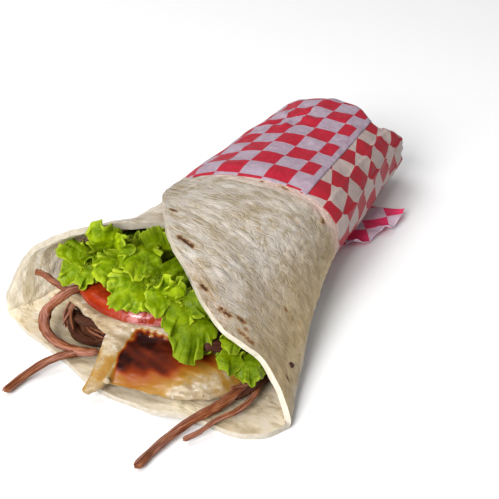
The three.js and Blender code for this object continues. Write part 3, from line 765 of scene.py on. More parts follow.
chicken = {
    "fillet": {"middle": (14, -52), "heights": (3.2, 5.2, 17.5), "rise": 0, "columns": 120, "rows": 60,
               "outline": [(-2, -101.5), (4.5, -100.4), (15, -99.8), (28.5, -97), (39, -89.3), (44, -77),
                           (36, -45), (26, 0), (16, 44), (5, 44), (-3, 0), (-10, -45), (-9, -82),
                           (-7, -96)]},
    "ledge": {"middle": (-6, -62), "heights": (12.6, 14.6, 16.6), "rise": -0.04, "columns": 90, "rows": 40,
              "outline": [(-27, -78), (-19, -84), (-9, -88), (2, -86), (10, -70), (8, -50), (-8, -46),
                          (-20, -54), (-26, -66)]},
    "flaps": [  # pale torn flesh over the seared face: path, half width and half height at its ends
        {"through": [(-33, -75, 17.0), (-25, -77.5, 16.3), (-17, -80.5, 16.0), (-8, -82, 16.8),
                     (2, -81, 17.4), (12, -79, 17.2), (22, -75.5, 17.2)],
         "wide": (2.7, 3.6), "high": (1.6, 1.9)},
        {"through": [(-2.5, -81, 16.8), (-3.5, -88, 15.2), (-3.2, -94, 12.8), (-3.0, -100, 9.2),
                     (-5.0, -108, 3.8)],
         "wide": (5.6, 1.9), "high": (2.0, 1.5)},
        {"through": [(-2.0, -92, 13.6), (-1.2, -97, 10.9), (-1.0, -101.5, 7.6), (-3.4, -106, 5.0)],
         "wide": (2.8, 2.0), "high": (1.5, 1.5)},
    ],
    "flapColumns": 24,
    "flapRows": 70,
    "flapSteps": 24,
    "groove": (-0.2, -94, -1.6, -103),  # between the prong and the seared face
    "darkSpots": [(2.4, -94.8, 2.3), (7.4, -85.2, 2.2)],
    "voxel": 0.7,
    "crumbs": [  # loose white crumbs of meat: x, y, z, radius
        (2.0, -102.5, 7.5, 1.2), (12.5, -82, 16.5, 0.4), (7, -83, 16, 0.3), (16, -82, 16, 0.3),
        (34, -94, 7.5, 0.4),
    ],
    "fibre": 0.35,
    "lumps": 0.4,
    "flesh": [(0.3, (132, 109, 79)), (0.52, (167, 148, 117)), (0.72, (203, 192, 172))],
    # painted glints on the wet flesh, and painted shade in its small pits
    "glint": (224, 218, 209),
    "pit": (136, 110, 78),
    "crust": [(0.0, (164, 139, 88)), (0.14, (154, 116, 48)), (0.27, (143, 93, 22)), (0.42, (138, 68, 18)),
              (0.62, (116, 42, 12)), (0.82, (76, 24, 8)), (1.0, (34, 10, 6))],
    "grains": {"threads": ((120.0, 420.0, 420.0), 4.0, 0.6, 0.0, 0.5), "mottle": (260.0, 4.0, 0.6),
               "sparkle": ((380.0, 800.0, 600.0), 3.0, 0.6, 0.0, 0.5)},
}


def lumpPoint(lump, u, v):
    outline, middle = lump["outline"], lump["middle"]
    count = len(outline)
    looped = [Vector((*outline[i % count], 0.0)) for i in range(-2, count + 3)]
    rimSpot = pathPoint(looped, (u * count + 2) / (len(looped) - 1))
    bottom, edge, top = lump["heights"]
    out = math.sin(math.pi * v) ** 0.8
    point = Vector((*middle, 0.0)).lerp(rimSpot, out)
    if v <= 0.5:
        point.z = edge + (top - edge) * (1 - out ** 4) ** 0.7
    else:
        point.z = edge - (edge - bottom) * (1 - out ** 6)
    point.z += lump["rise"] * (point.x - middle[0])
    return point


# A tube along a path whose ends close. thick gives its half width and half height at each share of the way.
def tubePoint(points, thick, u, v):
    near = min(v, 1 - v) / 0.03
    closing = math.sqrt(max(0.0, 1 - (1 - near) ** 2)) if near < 1 else 1.0
    middle = pathPoint(points, v)
    ahead = pathPoint(points, min(v + 0.01, 1.0)) - pathPoint(points, max(v - 0.01, 0.0))
    side = ahead.cross(Vector((0.13, 0.07, 1.0))).normalized()
    top = side.cross(ahead).normalized()
    wide, high = thick(u, v)
    turn = 2 * math.pi * u
    return middle + (side * (wide * math.cos(turn)) + top * (high * math.sin(turn))) * closing


def flapThickness(flap, u, v):
    return mix(*flap["wide"], v), mix(*flap["high"], v)


# How far the face is seared: red brown on the left, golden to the right and along its pale front margin
def searedShare(at):
    streak = grain(at.x / 9, (at.y + 0.2 * at.x) / 2.4, 3)
    margin = mix(mix(-98.6, -95.6, ease(2, 20, at.x)), -85.5, ease(17, 32, at.x))
    depth = at.y - margin + 1.0 * streak + 1.6 * grain(at.x / 6, at.y / 5)
    fading = mix(1.0, 0.5, ease(13, 29, at.x + 4 * streak)) * (1 - ease(29, 38, at.x))
    share = 0.5 * ease(-0.6, 3.6, depth) * fading + mix(0.18, 0.1, ease(18, 34, at.x)) * ease(-9, -4, depth)
    share += 0.17 * ease(-4.0, -0.5, depth) * (1 - ease(27, 38, at.x)) + 0.22 * streak * ease(-3, 2, depth)
    for x, y, size in chicken["darkSpots"]:
        away = math.hypot((at.x - x) / 1.7, at.y - y) + 1.4 * grain(at.x / 2, at.y / 2, 5)
        share += 0.27 * bell(away, size)
    return share * ease(-79.0, -81.5, at.y) * ease(-1.6, 0.8, at.x + 0.8 * grain(at.y / 3, 8))


@functools.cache
def flapSpots():  # points along the pale flaps, with the half width at each
    shares = [step / chicken["flapSteps"] for step in range(chicken["flapSteps"] + 1)]
    return [(pathPoint(vectors(flap["through"]), share), mix(*flap["wide"], share))
            for flap in chicken["flaps"] for share in shares]


# Distance from the middle of the pale flaps, as a share of their half width
def flapShare(at):
    return min((point - at).length / half for point, half in flapSpots())


def chickenFinish():
    finish = Finish("chicken", Roughness=0.32, Coat_Roughness=0.12, Subsurface_Weight=0.1,
                    Subsurface_Scale=0.001, Subsurface_Radius=(1.0, 0.5, 0.25))
    threads, mottle, sparkle = finish.grains(finish.place(), chicken["grains"])
    finish.base = finish.ramp(threads, chicken["flesh"])
    # painted glints on the wet flesh, and painted shade in its small pits
    finish.paint(finish.spread(sparkle, 0.54, 0.7, 0.45), chicken["glint"])
    finish.paint(finish.spread(sparkle, 0.44, 0.3, 0.3), chicken["pit"])
    sear = finish.layer("sear")
    uneven = finish.figure("ADD", sear, finish.times(finish.figure("SUBTRACT", mottle, 0.5), 0.22))
    finish.paint(finish.spread(uneven, 0.04, 0.16), finish.ramp(uneven, chicken["crust"]))
    shine = {"Value": sear, "From Min": 0.1, "From Max": 0.6, "To Min": 0.3, "To Max": 0.04}
    finish.feed("Specular IOR Level", finish.add("MapRange", shine).outputs[0])
    finish.feed("Coat Weight", finish.spread(sear, 0.08, 0.0, 0.1))
    return finish.close((mottle, 0.15, 0.5), (threads, 0.45, 0.5))


# Loose white crumbs of meat that lie on the fillet
def addCrumbs(bm):
    top = BVHTree.FromBMesh(bm)
    for x, y, z, size in chicken["crumbs"]:
        spot = top.find_nearest(Vector((x, y, z)))[0]
        crumb = bmesh.ops.create_icosphere(bm, subdivisions=2, radius=size)["verts"]
        for vert in crumb:
            vert.co *= 1 + 0.35 * grain(*(vert.co * 1.3 / size + spot))
            vert.co += spot + Vector((0, 0, 0.3 * size))


def makeChicken():
    bm = bmesh.new()
    for lump in (chicken["fillet"], chicken["ledge"]):
        bentGrid(bm, lump["columns"], lump["rows"], functools.partial(lumpPoint, lump), True)
    for flap in chicken["flaps"]:
        tube = functools.partial(tubePoint, vectors(flap["through"]), functools.partial(flapThickness, flap))
        bentGrid(bm, chicken["flapColumns"], chicken["flapRows"], tube, True)
    mesh = bpy.data.meshes.new("chicken_rough")
    bm.to_mesh(mesh)
    bm.free()
    rough = addObject("chicken_rough", mesh)
    fuse = rough.modifiers.new("fuse", "REMESH")
    fuse.mode = "VOXEL"
    fuse.voxel_size = chicken["voxel"]
    bm = bmesh.new()
    bm.from_object(rough, bpy.context.evaluated_depsgraph_get())
    bpy.data.objects.remove(rough)
    bmesh.ops.smooth_vert(bm, verts=bm.verts, factor=0.5, use_axis_x=True, use_axis_y=True, use_axis_z=True)
    bm.normal_update()
    searLayer, = addLayers(bm, "sear")
    for vert in bm.verts:
        at = vert.co
        pale = flapShare(at) + 0.2 * grain(at.x / 2, at.y / 2, at.z / 2)
        onLedge = min(ease(-78, -72, at.y) + ease(-13, -15, at.x), 1.0)
        share = searedShare(at) * ease(-0.5, 0.1, vert.normal.z) * ease(0.8, 1.15, pale) * (1 - onLedge)
        onProng = ease(-91, -97, at.y) * ease(3, 0, at.x)
        gold = 0.08 * bell(strokeDistance(at, chicken["groove"]) + 0.8 * grain(at.x / 1.5, at.y / 2, 4), 1.8)
        gold += 0.07 * ease(-4.6, -6.0, at.x)
        share = max(share, (0.1 + gold) * onProng)
        vert[searLayer] = share
        torn = 1 - ease(0.1, 0.4, share)
        threads = grain(at.x / 5 + at.y / 9, at.y / 2.2 - at.x / 5, at.z / 2)
        relief = chicken["fibre"] * threads * mix(0.5, 1.2, torn) * (1 - 0.6 * onProng)
        at += vert.normal * (relief + chicken["lumps"] * grain(at.x / 6, at.y / 6, at.z / 6))
    addCrumbs(bm)
    makePiece(bm, "chicken_fillet", [chickenFinish()], "chicken", "chicken_piece")


tomato = {
    "middle": (-6.0, -56.5),
    "radius": 29.0,
    "thickness": 6.5,
    "height": 18.8,
    "rise": (-0.03, 0.02),
    "rimShare": 0.26,
    "shoulder": 4.5,
    "rooms": 6,            # seed chambers
    "roomDepth": 0.8,
    "columns": 160,
    "rows": 70,
    "skin": [(0.3, (122, 24, 4)), (0.7, (160, 54, 12))],
    "flesh": [(0.3, (134, 30, 8)), (0.7, (164, 58, 22))],
    # pale wet juice, with a painted sheen on it
    "juiceAndSheen": (206, 140, 140),
    "grains": {"cloud": (110.0, 4.0, 0.6), "pulp": (420.0, 4.0, 0.6), "drops": (330.0, 3.0, 0.6),
               "ripple": (380.0, 3.0, 0.6)},
}


def tomatoPoint(u, v):
    turn = 2 * math.pi * u
    half = tomato["thickness"] / 2
    low = 0.5 - tomato["rimShare"] / 2
    if v < low or v > 1 - low:
        share = (v if v < low else 1 - v) / low
        reach, z = (tomato["radius"] - tomato["shoulder"]) * share, -half if v < low else half
        room = 0.5 + 0.5 * math.cos(tomato["rooms"] * turn + 0.6 * math.sin(turn))
        hollow = ease(0.3, 0.8, room) * ease(0.25, 0.4, share) * (1 - ease(0.65, 0.8, share))
        z -= math.copysign(tomato["roomDepth"] * hollow, z)
    else:
        bend = ((v - low) / tomato["rimShare"] - 0.5) * math.pi
        reach = tomato["radius"] - tomato["shoulder"] * (1 - math.cos(bend) ** 0.8)
        z = half * math.sin(bend)
    reach *= 1 + 0.018 * math.sin(2 * turn + 1) + 0.01 * math.sin(5 * turn)
    x, y = reach * math.cos(turn), reach * math.sin(turn)
    slant = tomato["rise"][0] * x + tomato["rise"][1] * y
    return Vector((tomato["middle"][0] + x, tomato["middle"][1] + y, tomato["height"] + half + z + slant))


def tomatoFinish():
    finish = Finish("tomato", Roughness=0.2, Specular_IOR_Level=0.1, Coat_Roughness=0.05,
                    Subsurface_Weight=0.15, Subsurface_Scale=0.002, Subsurface_Radius=(1.0, 0.2, 0.1))
    cloud, pulp, drops, ripple = finish.grains(finish.place(), tomato["grains"])
    finish.base = finish.ramp(cloud, tomato["skin"])
    finish.paint(finish.layer("flesh"), finish.ramp(pulp, tomato["flesh"]))
    # pale wet juice, with a painted sheen on it
    juiceAndSheen = finish.layer("juiceAndSheen")
    wet = finish.times(juiceAndSheen, finish.spread(drops, 0.35, 0.6))
    finish.paint(finish.times(wet, 0.8), tomato["juiceAndSheen"])
    finish.feed("Coat Weight", wet)
    return finish.close((cloud, 0.1, 1.0), (finish.times(ripple, juiceAndSheen), 0.9, 1.6))


def makeTomato():
    bm = bmesh.new()
    fleshLayer, juiceAndSheenLayer = addLayers(bm, "flesh", "juiceAndSheen")
    for vert in bentGrid(bm, tomato["columns"], tomato["rows"], tomatoPoint, True):
        away = (vert.co.xy - Vector(tomato["middle"])).length
        vert[fleshLayer] = 1 - ease(tomato["radius"] - 1.6, tomato["radius"] - 0.4, away)
        # where the juice and its painted sheen lie
        vert[juiceAndSheenLayer] = bell(vert.co.x - 4, 7.5) * ease(-74, -79, vert.co.y)
    makePiece(bm, "tomato_round", [tomatoFinish()], "tomato", "tomato_slice")


lettuce = {
    "thickness": 0.5,
    "clear": 0.15,         # between leaf and tortilla
    "wallReach": 9.0,      # leaves farther than this from the tortilla stay as they are
    "columns": 150,
    "rows": 70,
    "lobeColumns": 110,
    "lobeRows": 50,
    "ruffleDepth": 2.0,
    "crinkle": 0.7,
    "facing": (0.35, -0.7, 0.6),  # the side that lobes turn towards the mouth
    "bulge": 0.26,         # share of a lobe's half width
    "curl": 1.5,
    "mostFrilled": 9.0,    # half width above which lobes get no more frills
    "scallops": 0.45,      # for each mm of half width
    "scallopReach": 2.2,
    "scallopDepth": 0.8,
    "frills": 0.95,        # for each mm of half width
    "frillDepth": 1.2,
    "teeth": 2.2,          # for each mm of half width
    "toothReach": 0.75,
    "shading": 0.7,        # how strongly painted shade darkens troughs and painted light pales crests
    "blade": [(0.28, (72, 99, 0)), (0.5, (107, 132, 0)), (0.74, (150, 169, 6))],
    "vein": (150, 170, 50),
    # paler margins: partly their own colour, partly painted light through the thin edges
    "frill": (172, 186, 44),
    # painted light on crests, painted shade in troughs and deep among the lobes
    "crest": (166, 182, 40),
    "troughShade": (46, 70, 0),
    "deep": (70, 84, 4),
    "grains": {"cloud": (0.16, 4.0, 0.6), "bubbles": (0.45, 3.0, 0.5)},
    "veinScale": 0.22,
    # stations: left and right ends from the base on. lobes: base, tip, half width, how much painted shade
    # they get.
    "leaves": [
        {"node": "lettuce_leaf_left", "ruffles": 3, "seed": 3, "trim": 0.12,
         "stations": [((-11, 30, 28.5), (7, 40, 29.5)), ((-13, -20, 29.4), (4, -20, 30)),
                      ((-30, -60, 32), (-3, -58, 32)), ((-40, -75, 31.5), (-11, -83, 30))],
         "lobes": [((-26, -67, 31.5), (-36, -76, 35.5), 5.0, 0.0),
                   ((-26, -69, 30), (-33.5, -80, 26.5), 5.5, 0.0),
                   ((-24, -71, 30.5), (-23.5, -81, 26), 3.6, 0.0),
                   ((-17, -64, 33.5), (-13.5, -80, 29.5), 7.0, 0.0)]},
        {"node": "lettuce_leaf_upper", "ruffles": 2.5, "seed": 11, "trim": 0.12,
         "stations": [((-5, 0, 31.4), (5, 0, 31.9)), ((-9, -20, 32.4), (4, -20, 32.8)),
                      ((-21, -56, 36.2), (-1, -53, 36.5)), ((-27.5, -71, 37.5), (-7, -68, 43))],
         "lobes": [((-23, -65, 31), (-19.5, -70, 49), 6.5, 0.0),
                   ((-19, -65, 33), (-7, -71.5, 44.5), 6.0, 0.0),
                   ((-3, -53, 27), (-6, -57.5, 46), 23.0, 0.4)]},
        {"node": "lettuce_leaf_middle", "ruffles": 3, "seed": 23, "trim": 0.14,
         "stations": [((11, 40, 29), (21, 40, 28)), ((9, -15, 31), (20, -15, 30.5)),
                      ((3, -68, 36), (19, -67, 33)), ((-8, -85, 32), (20, -87, 26.5))],
         "lobes": [((-8, -59, 38.5), (-1.5, -79, 34.5), 7.5, 0.0),
                   ((1, -71, 34), (-5.5, -87, 26.5), 9.0, 0.0),
                   ((5, -71, 34), (13, -88, 29), 4.5, 0.0),
                   ((10.5, -79, 28), (13, -77, 40), 4.0, 0.0),
                   ((13, -79, 29.5), (17, -77, 39.5), 3.6, 0.0)]},
        {"node": "lettuce_leaf_right", "ruffles": 3.5, "seed": 31, "trim": 0.24,
         "stations": [((25, 20, 28), (30, 20, 22)), ((24, -15, 29), (32, -15, 21.5)),
                      ((22, -70, 29.5), (43, -70, 19.5)), ((19, -92, 19), (51, -85, 14))],
         "lobes": [((17.5, -73, 32), (18.5, -88, 23.5), 6.0, 0.2),
                   ((15, -75, 33), (27, -77, 28), 4.5, 0.4),
                   ((21.5, -72, 29), (27.5, -94, 18.5), 7.8, 0.42),
                   ((36, -77, 21), (42, -90, 17), 4.4, 0.42),
                   ((42, -76, 19), (50, -88, 14), 5.5, 0.4),
                   ((37.5, -74, 25), (40.5, -86.5, 22), 4.4, 0.3)]},
    ],
}


def leafBase(stations, u, v):
    return pathPoint([Vector(left).lerp(Vector(right), u) for left, right in stations], v)


def crinkled(x, y, seed):
    return lettuce["crinkle"] * (grain(x / 4.8, y / 4.8, seed) + 0.45 * grain(x / 2.3, y / 2.3, seed))


# The blade of a leaf, wavy towards its margin
def leafPoint(leaf, u, v):
    seed, base = leaf["seed"], functools.partial(leafBase, leaf["stations"])
    reach = v * (1 - leaf["trim"] * v ** 3 + 0.05 * grain(u * 9, seed) * v ** 6)
    step = 0.01
    across = base(u + step, reach) - base(u - step, reach)
    along = base(u, reach + step) - base(u, reach - step)
    out = along.cross(across).normalized()
    turn = 2 * math.pi * (leaf["ruffles"] * u + 0.4 * grain(u * 4, seed, 2))
    wave = lettuce["ruffleDepth"] * ease(0.45, 1.0, v) * math.sin(turn)
    return base(u, reach) + out * (wave + crinkled(u * 32, v * 110, seed) * ease(0.2, 0.6, v))


def marginShare(across, v):  # 1 all along a lobe's margin
    return min((v ** 5 + abs(across) ** 5) ** 0.2, 1.0)


# A lobe bulges. Its margin falls into scallops that swell towards the mouth, with small teeth along them.
def lobePoint(lobe, seed, u, v):
    base, tip, halfWidth, _ = lobe
    axis = Vector(tip) - Vector(base)
    length = axis.length
    side = axis.cross(Vector(lettuce["facing"])).normalized()
    face = side.cross(axis).normalized()
    across = 2 * u - 1
    edge = marginShare(across, v)
    turn = math.atan2(across * halfWidth, v * length)
    ring = turn / math.pi
    frilled = min(halfWidth, lettuce["mostFrilled"])
    scallop = abs(math.cos(math.pi * (ring * lettuce["scallops"] * frilled + 0.7 * grain(ring * 4, seed))))
    teeth = ring * (lettuce["teeth"] * frilled + 4) + 0.9 * grain(ring * 8, seed)
    tooth = (1 - abs(math.sin(math.pi * teeth))) * (0.8 + grain(ring * 6, seed, 3))
    reach = lettuce["scallopReach"] * (scallop - 0.7) * edge ** 4 + lettuce["toothReach"] * tooth * edge ** 6
    width = halfWidth * (0.45 + 0.55 * ease(0, 0.5, v)) * (1 - 0.15 * ease(0.7, 1, v))
    forward = v * (1 - 0.3 * across ** 2 * v) * length + reach * math.cos(turn)
    wave = 2 * math.pi * (ring * (lettuce["frills"] * frilled + 2) + 0.9 * grain(ring * 6, seed, 6))
    swell = lettuce["frillDepth"] * ease(0.5, 1.0, edge) ** 1.3 * (1 + 1.2 * grain(ring * 5, seed, 9))
    height = lettuce["bulge"] * halfWidth * (1 - across ** 2) * math.sin(2.6 * v)
    height += lettuce["curl"] * 2 * grain(seed * 3.7) * v ** 3
    height += lettuce["scallopDepth"] * (2 * scallop - 1.2) * ease(0.45, 1.0, edge)
    height += swell * (math.sin(wave) + 0.4 * math.sin(2.3 * wave + seed))
    height += crinkled(across * width, v * length, seed) * ease(0.05, 0.3, v)
    sideways = across * width + reach * math.sin(turn) - 0.4 * swell * math.sin(2 * wave)
    return Vector(base) + axis.normalized() * forward + side * sideways + face * height


def lettuceFinish():
    finish = Finish("lettuce", Roughness=0.36, Specular_IOR_Level=0.1, Subsurface_Weight=0.2,
                    Subsurface_Scale=0.0015, Subsurface_Radius=(0.6, 1.0, 0.1))
    flat = finish.layer("flat", "Vector")
    cloud, bubbles = finish.grains(flat, lettuce["grains"])
    cells = {"Vector": flat, "Scale": lettuce["veinScale"]}
    vein = finish.add("TexVoronoi", cells, feature="DISTANCE_TO_EDGE").outputs["Distance"]
    margin = finish.add("SeparateXYZ", {"Vector": flat}).outputs["Z"]
    hollow = finish.layer("hollow")
    finish.base = finish.ramp(cloud, lettuce["blade"])
    finish.paint(finish.spread(vein, 0.06, 0.0, 0.35), lettuce["vein"])
    # paler margins: partly their own colour, partly painted light through the thin edges
    finish.paint(finish.spread(margin, 0.85, 1.0, 0.4), lettuce["frill"])
    # painted light on crests, painted shade in troughs
    finish.paint(finish.spread(hollow, 0.0, -1.0), lettuce["crest"])
    finish.paint(finish.spread(hollow, 0.0, 1.0), lettuce["troughShade"])
    # painted shade deep among the lobes
    finish.paint(finish.layer("deep"), lettuce["deep"])
    return finish.close((bubbles, 0.5, 1.0), (vein, 0.35, 0.8))


# How hollow the leaf is at a point, from its neighbours: above 0 in troughs, below 0 on crests
def hollowness(vert):
    around = [edge.other_vert(vert).co for edge in vert.link_edges]
    middle = sum(around, Vector()) / len(around)
    spacing = sum((spot - vert.co).length_squared for spot in around) / len(around)
    return (middle - vert.co).dot(vert.normal) / max(spacing, 1e-6)


def makeLettuce(wall):
    finish = lettuceFinish()
    clear = tortilla["thickness"] / 2 + lettuce["thickness"] / 2 + lettuce["clear"]
    for leaf in lettuce["leaves"]:
        bm = bmesh.new()
        flat = bm.verts.layers.float_vector.new("flat")
        deep, hollow = addLayers(bm, "deep", "hollow")
        for vert in bentGrid(bm, lettuce["columns"], lettuce["rows"], functools.partial(leafPoint, leaf)):
            u, v, _ = vert[flat]
            vert[flat] = (u * 40 + leaf["seed"] * 9, v * 110, 0.6 * v)
            # painted shade on the blades, lighter towards their margins
            vert[deep] = mix(0.4, 0.2, ease(0.7, 1.0, v))
        for index, lobe in enumerate(leaf["lobes"]):
            seed = leaf["seed"] + 2.3 * index
            _, _, halfWidth, shade = lobe
            surface = functools.partial(lobePoint, lobe, seed)
            for vert in bentGrid(bm, lettuce["lobeColumns"], lettuce["lobeRows"], surface):
                u, v, _ = vert[flat]
                across = 2 * u - 1
                vert[flat] = (across * halfWidth + 31 * seed, v * 16, marginShare(across, v))
                # painted shade at the lobes' roots, and on whole lobes deep in the mouth
                vert[deep] = max(shade, 0.75 * (1 - ease(0.0, 0.45, v)))
        keepInside(bm.verts, wall, clear, lettuce["wallReach"])
        bm.normal_update()
        for vert in bm.verts:
            vert[hollow] = lettuce["shading"] * min(max(2.0 * hollowness(vert), -1.0), 1.0)
        piece = makePiece(bm, leaf["node"] + "_frilled", [finish], "lettuce", leaf["node"])
        thicken(piece, lettuce["thickness"])


beef = {
    "wide": 1.55,          # half width and half height of a strand
    "high": 1.15,
    "sides": 16,
    "coreSides": 64,
    "step": 0.9,           # mm between rings along a strand
    "groove": 0.34,
    "cores": [  # path, half width, half height
        ([(-27, -73, 9.5), (-25, -40, 10), (-19, 0, 11), (-10, 58, 13)], 8.5, 5.5),
        ([(51, -73, 8), (43, -40, 10), (34, 0, 12), (23, 58, 13)], 5, 5),
        ([(-12, 56, 13), (6, 62, 13), (26, 56, 13)], 8, 7),
    ],
    "strands": [  # path, thickness, share of it left at the tip
        ([(-27, -66, 12), (-31, -75, 17), (-36, -78, 22), (-41, -77.5, 23.5), (-47, -76, 23)], 0.9, 0.9),
        ([(-27, -66, 12), (-31, -75, 19.5), (-35.5, -80, 16), (-38.5, -83, 12), (-37.5, -86, 8),
          (-33.5, -88, 5.2), (-26.5, -90, 5), (-18.5, -91, 6), (-11, -90, 7.5)], 1.3, 0.85),
        ([(-14, -88, 5), (-19, -91, 5), (-24, -96, 5), (-28, -102, 4), (-31, -109, 2.2),
          (-32, -118, 1.8)], 1.0, 0.9),
        ([(48, -68, 8), (46, -76, 9), (43.5, -84, 7.6), (41, -91, 6), (37.5, -98, 4.8), (33, -106, 3),
          (30, -116, 2), (28.8, -129, 1.8)], 1.1, 0.85),
        ([(48, -70, 8), (48, -78, 8.5), (48.5, -86, 6.2), (46.5, -93, 5), (42, -99, 4), (39.5, -105.5, 3),
          (36, -111, 2)], 0.62, 0.9),
        ([(51, -66, 8), (48.5, -77, 10), (45, -84, 9.2), (41.5, -88.5, 9.4)], 0.6, 0.5),
    ],
    "knot": [  # strands deeper in the mouth, darkened with painted shade: path, thickness
        ([(-30, -78, 13), (-29, -80, 8), (-25, -82, 5.5), (-19, -83, 5.5), (-13.5, -83, 8.5),
          (-13, -82, 12.5), (-19, -81, 11.5)], 1.9),
        ([(-27, -76, 9), (-24, -82, 13), (-18, -84, 14.5), (-13, -83, 13)], 1.2),
        ([(-26, -74, 13), (-21, -80, 15), (-16, -83, 12.5), (-14, -84, 9)], 1.2),
        ([(-27, -78, 12), (-20, -82.5, 9.5), (-11, -84, 8)], 1.3),
        ([(-24, -74, 14.5), (-19, -78, 15), (-14, -82, 14)], 1.0),
        ([(52, -68, 9), (50, -79, 10), (47, -85, 8.2), (44.5, -89, 6.8)], 0.7),
        ([(50, -70, 6), (46, -81, 6), (43, -88, 5)], 0.6),
        ([(50, -70, 11), (41, -77, 17), (34, -82, 20.5), (27, -84, 20), (19, -82, 17.5)], 1.5),
    ],
    "fray": [  # loose thin fibres by the knot
        [(-31, -77, 16), (-33, -80, 10), (-31, -82, 6)],
        [(-29, -77, 17), (-30.5, -81, 11), (-29, -83, 7)],
        [(-28, -78, 16), (-30, -82, 12), (-31.5, -83, 8)],
        [(-30, -77, 15), (-28, -82, 13), (-26, -84, 8)],
        [(-24, -80, 12), (-18, -84, 12.5), (-11, -85, 12)],
        [(-24, -80, 11), (-18, -84.5, 11), (-11, -85.5, 10.5)],
    ],
    # how much painted shade darkens the cores and the knot
    "coreShade": 0.85,
    "knotShade": 0.8,
    "threads": 3,          # thin threads that cling to each strand
    "threadRadius": 0.5,
    "threadSides": 7,
    "lean": [(0.32, (60, 24, 12)), (0.5, (124, 66, 38)), (0.68, (186, 130, 90))],
    "pink": [(0.32, (98, 44, 34)), (0.68, (190, 136, 114))],
    "shaded": (34, 13, 8),
    "grains": {"threads": ((5.0, 0.16, 5.0), 4.0, 0.65), "patches": ((0.6, 0.07, 0.6), 3.0)},
    "seed": 19,
}


def addStrand(bm, route, wide, high, sides, seed, taper=0.8, shade=0.0):
    points = vectors(route)
    length = sum((b - a).length for a, b in zip(points, points[1:]))

    def thick(u, v):
        turn = 2 * math.pi * u + 0.05 * v * length
        ridges = grain(1.9 * math.cos(turn), 1.9 * math.sin(turn), v * length / 22 + seed)
        fine = grain(5 * math.cos(turn), 5 * math.sin(turn), v * length / 12 + seed)
        share = 1 + beef["groove"] * (1.3 * ridges + 0.7 * fine) + 0.16 * grain(v * length / 7, seed)
        share *= mix(1.0, taper, ease(0.45, 1.0, v))
        return wide * share, high * share

    rows = max(8, int(length / beef["step"]))
    verts = bentGrid(bm, sides, rows, functools.partial(tubePoint, points, thick), True)
    flat = bm.verts.layers.float_vector["flat"]
    shadeLayer = bm.verts.layers.float["shade"]
    for vert in verts:
        u, v, _ = vert[flat]
        vert[flat] = (math.cos(2 * math.pi * u), v * length + 13 * seed, math.sin(2 * math.pi * u))
        vert[shadeLayer] = shade


def beefFinish():
    finish = Finish("beef", Roughness=0.36, Specular_IOR_Level=0.1)
    threads, patches = finish.grains(finish.layer("flat", "Vector"), beef["grains"])
    finish.base = finish.ramp(threads, beef["lean"])
    finish.paint(finish.spread(patches, 0.45, 0.65), finish.ramp(threads, beef["pink"]))
    # painted shade on the cores and the knot
    finish.paint(finish.layer("shade"), beef["shaded"])
    return finish.close((threads, 0.7, 0.7))


def makeBeef():
    draws = random.Random(beef["seed"])
    wide, high, thread, sides = beef["wide"], beef["high"], beef["threadRadius"], beef["sides"]
    bm = bmesh.new()
    addLayers(bm, "shade")
    for index, (route, coreWide, coreHigh) in enumerate(beef["cores"]):
        addStrand(bm, route, coreWide, coreHigh, beef["coreSides"], index, 1.0, beef["coreShade"])
    for index, (route, size) in enumerate(beef["knot"]):
        addStrand(bm, route, size * wide, size * high, sides, 60 + index, 0.8, beef["knotShade"])
    for index, route in enumerate(beef["fray"]):
        addStrand(bm, route, thread, thread, sides // 2, 90 + index, 0.6)
    for index, (route, size, taper) in enumerate(beef["strands"]):
        addStrand(bm, route, size * wide, size * high, sides, 10 + index, taper)
        for number in range(beef["threads"]):
            turn = draws.uniform(0, 2 * math.pi)
            away = Vector((math.cos(turn), 0.3 * math.sin(2 * turn), abs(math.sin(turn))))
            shifted = [point + away * (size * wide * draws.uniform(0.5, 0.9)) for point in vectors(route[1:])]
            seed = 30 + 3 * index + number
            addStrand(bm, shifted, thread, 0.8 * thread, beef["threadSides"], seed, taper)
    makePiece(bm, "beef_shreds", [beefFinish()], "beef", "shredded_beef")


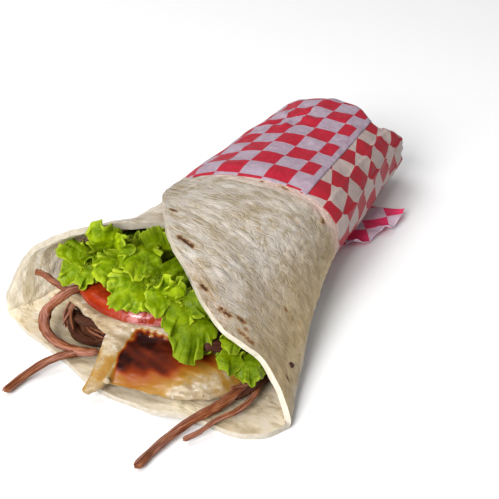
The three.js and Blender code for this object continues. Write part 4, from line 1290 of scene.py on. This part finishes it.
stage = {
    "azimuth": 27.5,
    "elevation": 32.0,
    "cameraAt": Vector((175.746, -319.024, 242.017)),
    "focal": 1075.0,       # in pixels of the 499 wide picture
    "pictureWidth": 499,
    "sensor": 36.0,
    "nearest": 0.01,
    "floor": 6.0,
    "floorColour": (0.9, 0.9, 0.9, 1.0),
    "skyColour": (1.0, 1.0, 1.0, 1.0),
    "sky": 0.34,
    "lights": [
        {"name": "key", "at": (-0.05, -1.2, 0.78), "size": 0.7, "power": 25.0},
        {"name": "top", "at": (-0.6, -0.1, 1.2), "size": 0.9, "power": 8.0},
    ],
}


def makeStage():
    scene = bpy.context.scene
    bm = bmesh.new()
    bmesh.ops.create_grid(bm, x_segments=1, y_segments=1, size=stage["floor"])
    mesh = bpy.data.meshes.new("floor")
    bm.to_mesh(mesh)
    bm.free()
    mesh.materials.append(Finish("pale_floor", Roughness=0.9, Base_Color=stage["floorColour"]).material)
    floor = addObject("floor", mesh)
    for lamp in stage["lights"]:
        light = bpy.data.lights.new(lamp["name"], "AREA")
        light.size = lamp["size"]
        light.energy = lamp["power"]
        holder = addObject(lamp["name"], light)
        holder.location = lamp["at"]
        holder.rotation_euler = (-Vector(lamp["at"])).to_track_quat("-Z", "Y").to_euler()
    world = bpy.data.worlds.new("soft sky")
    world.use_nodes = True
    sky = world.node_tree.nodes["Background"]
    sky.inputs["Color"].default_value = stage["skyColour"]
    sky.inputs["Strength"].default_value = stage["sky"]
    scene.world = world
    scene.view_settings.view_transform = "Standard"
    lens = bpy.data.cameras.new("camera")
    lens.sensor_width = stage["sensor"]
    lens.lens = stage["focal"] * stage["sensor"] / stage["pictureWidth"]
    lens.clip_start = stage["nearest"]
    camera = addObject("camera", lens)
    azimuth, elevation = math.radians(stage["azimuth"]), math.radians(stage["elevation"])
    level = math.cos(elevation)
    back = Vector((math.sin(azimuth) * level, -math.cos(azimuth) * level, math.sin(elevation)))
    camera.location = stage["cameraAt"] * mm
    camera.rotation_euler = (-back).to_track_quat("-Z", "Y").to_euler()
    scene.camera = camera
    print("made the stage with", len(stage["lights"]), "lights")


makeStage()
wall = makeTortilla()
makePaper()
makeChicken()
makeTomato()
makeLettuce(wall)
makeBeef()
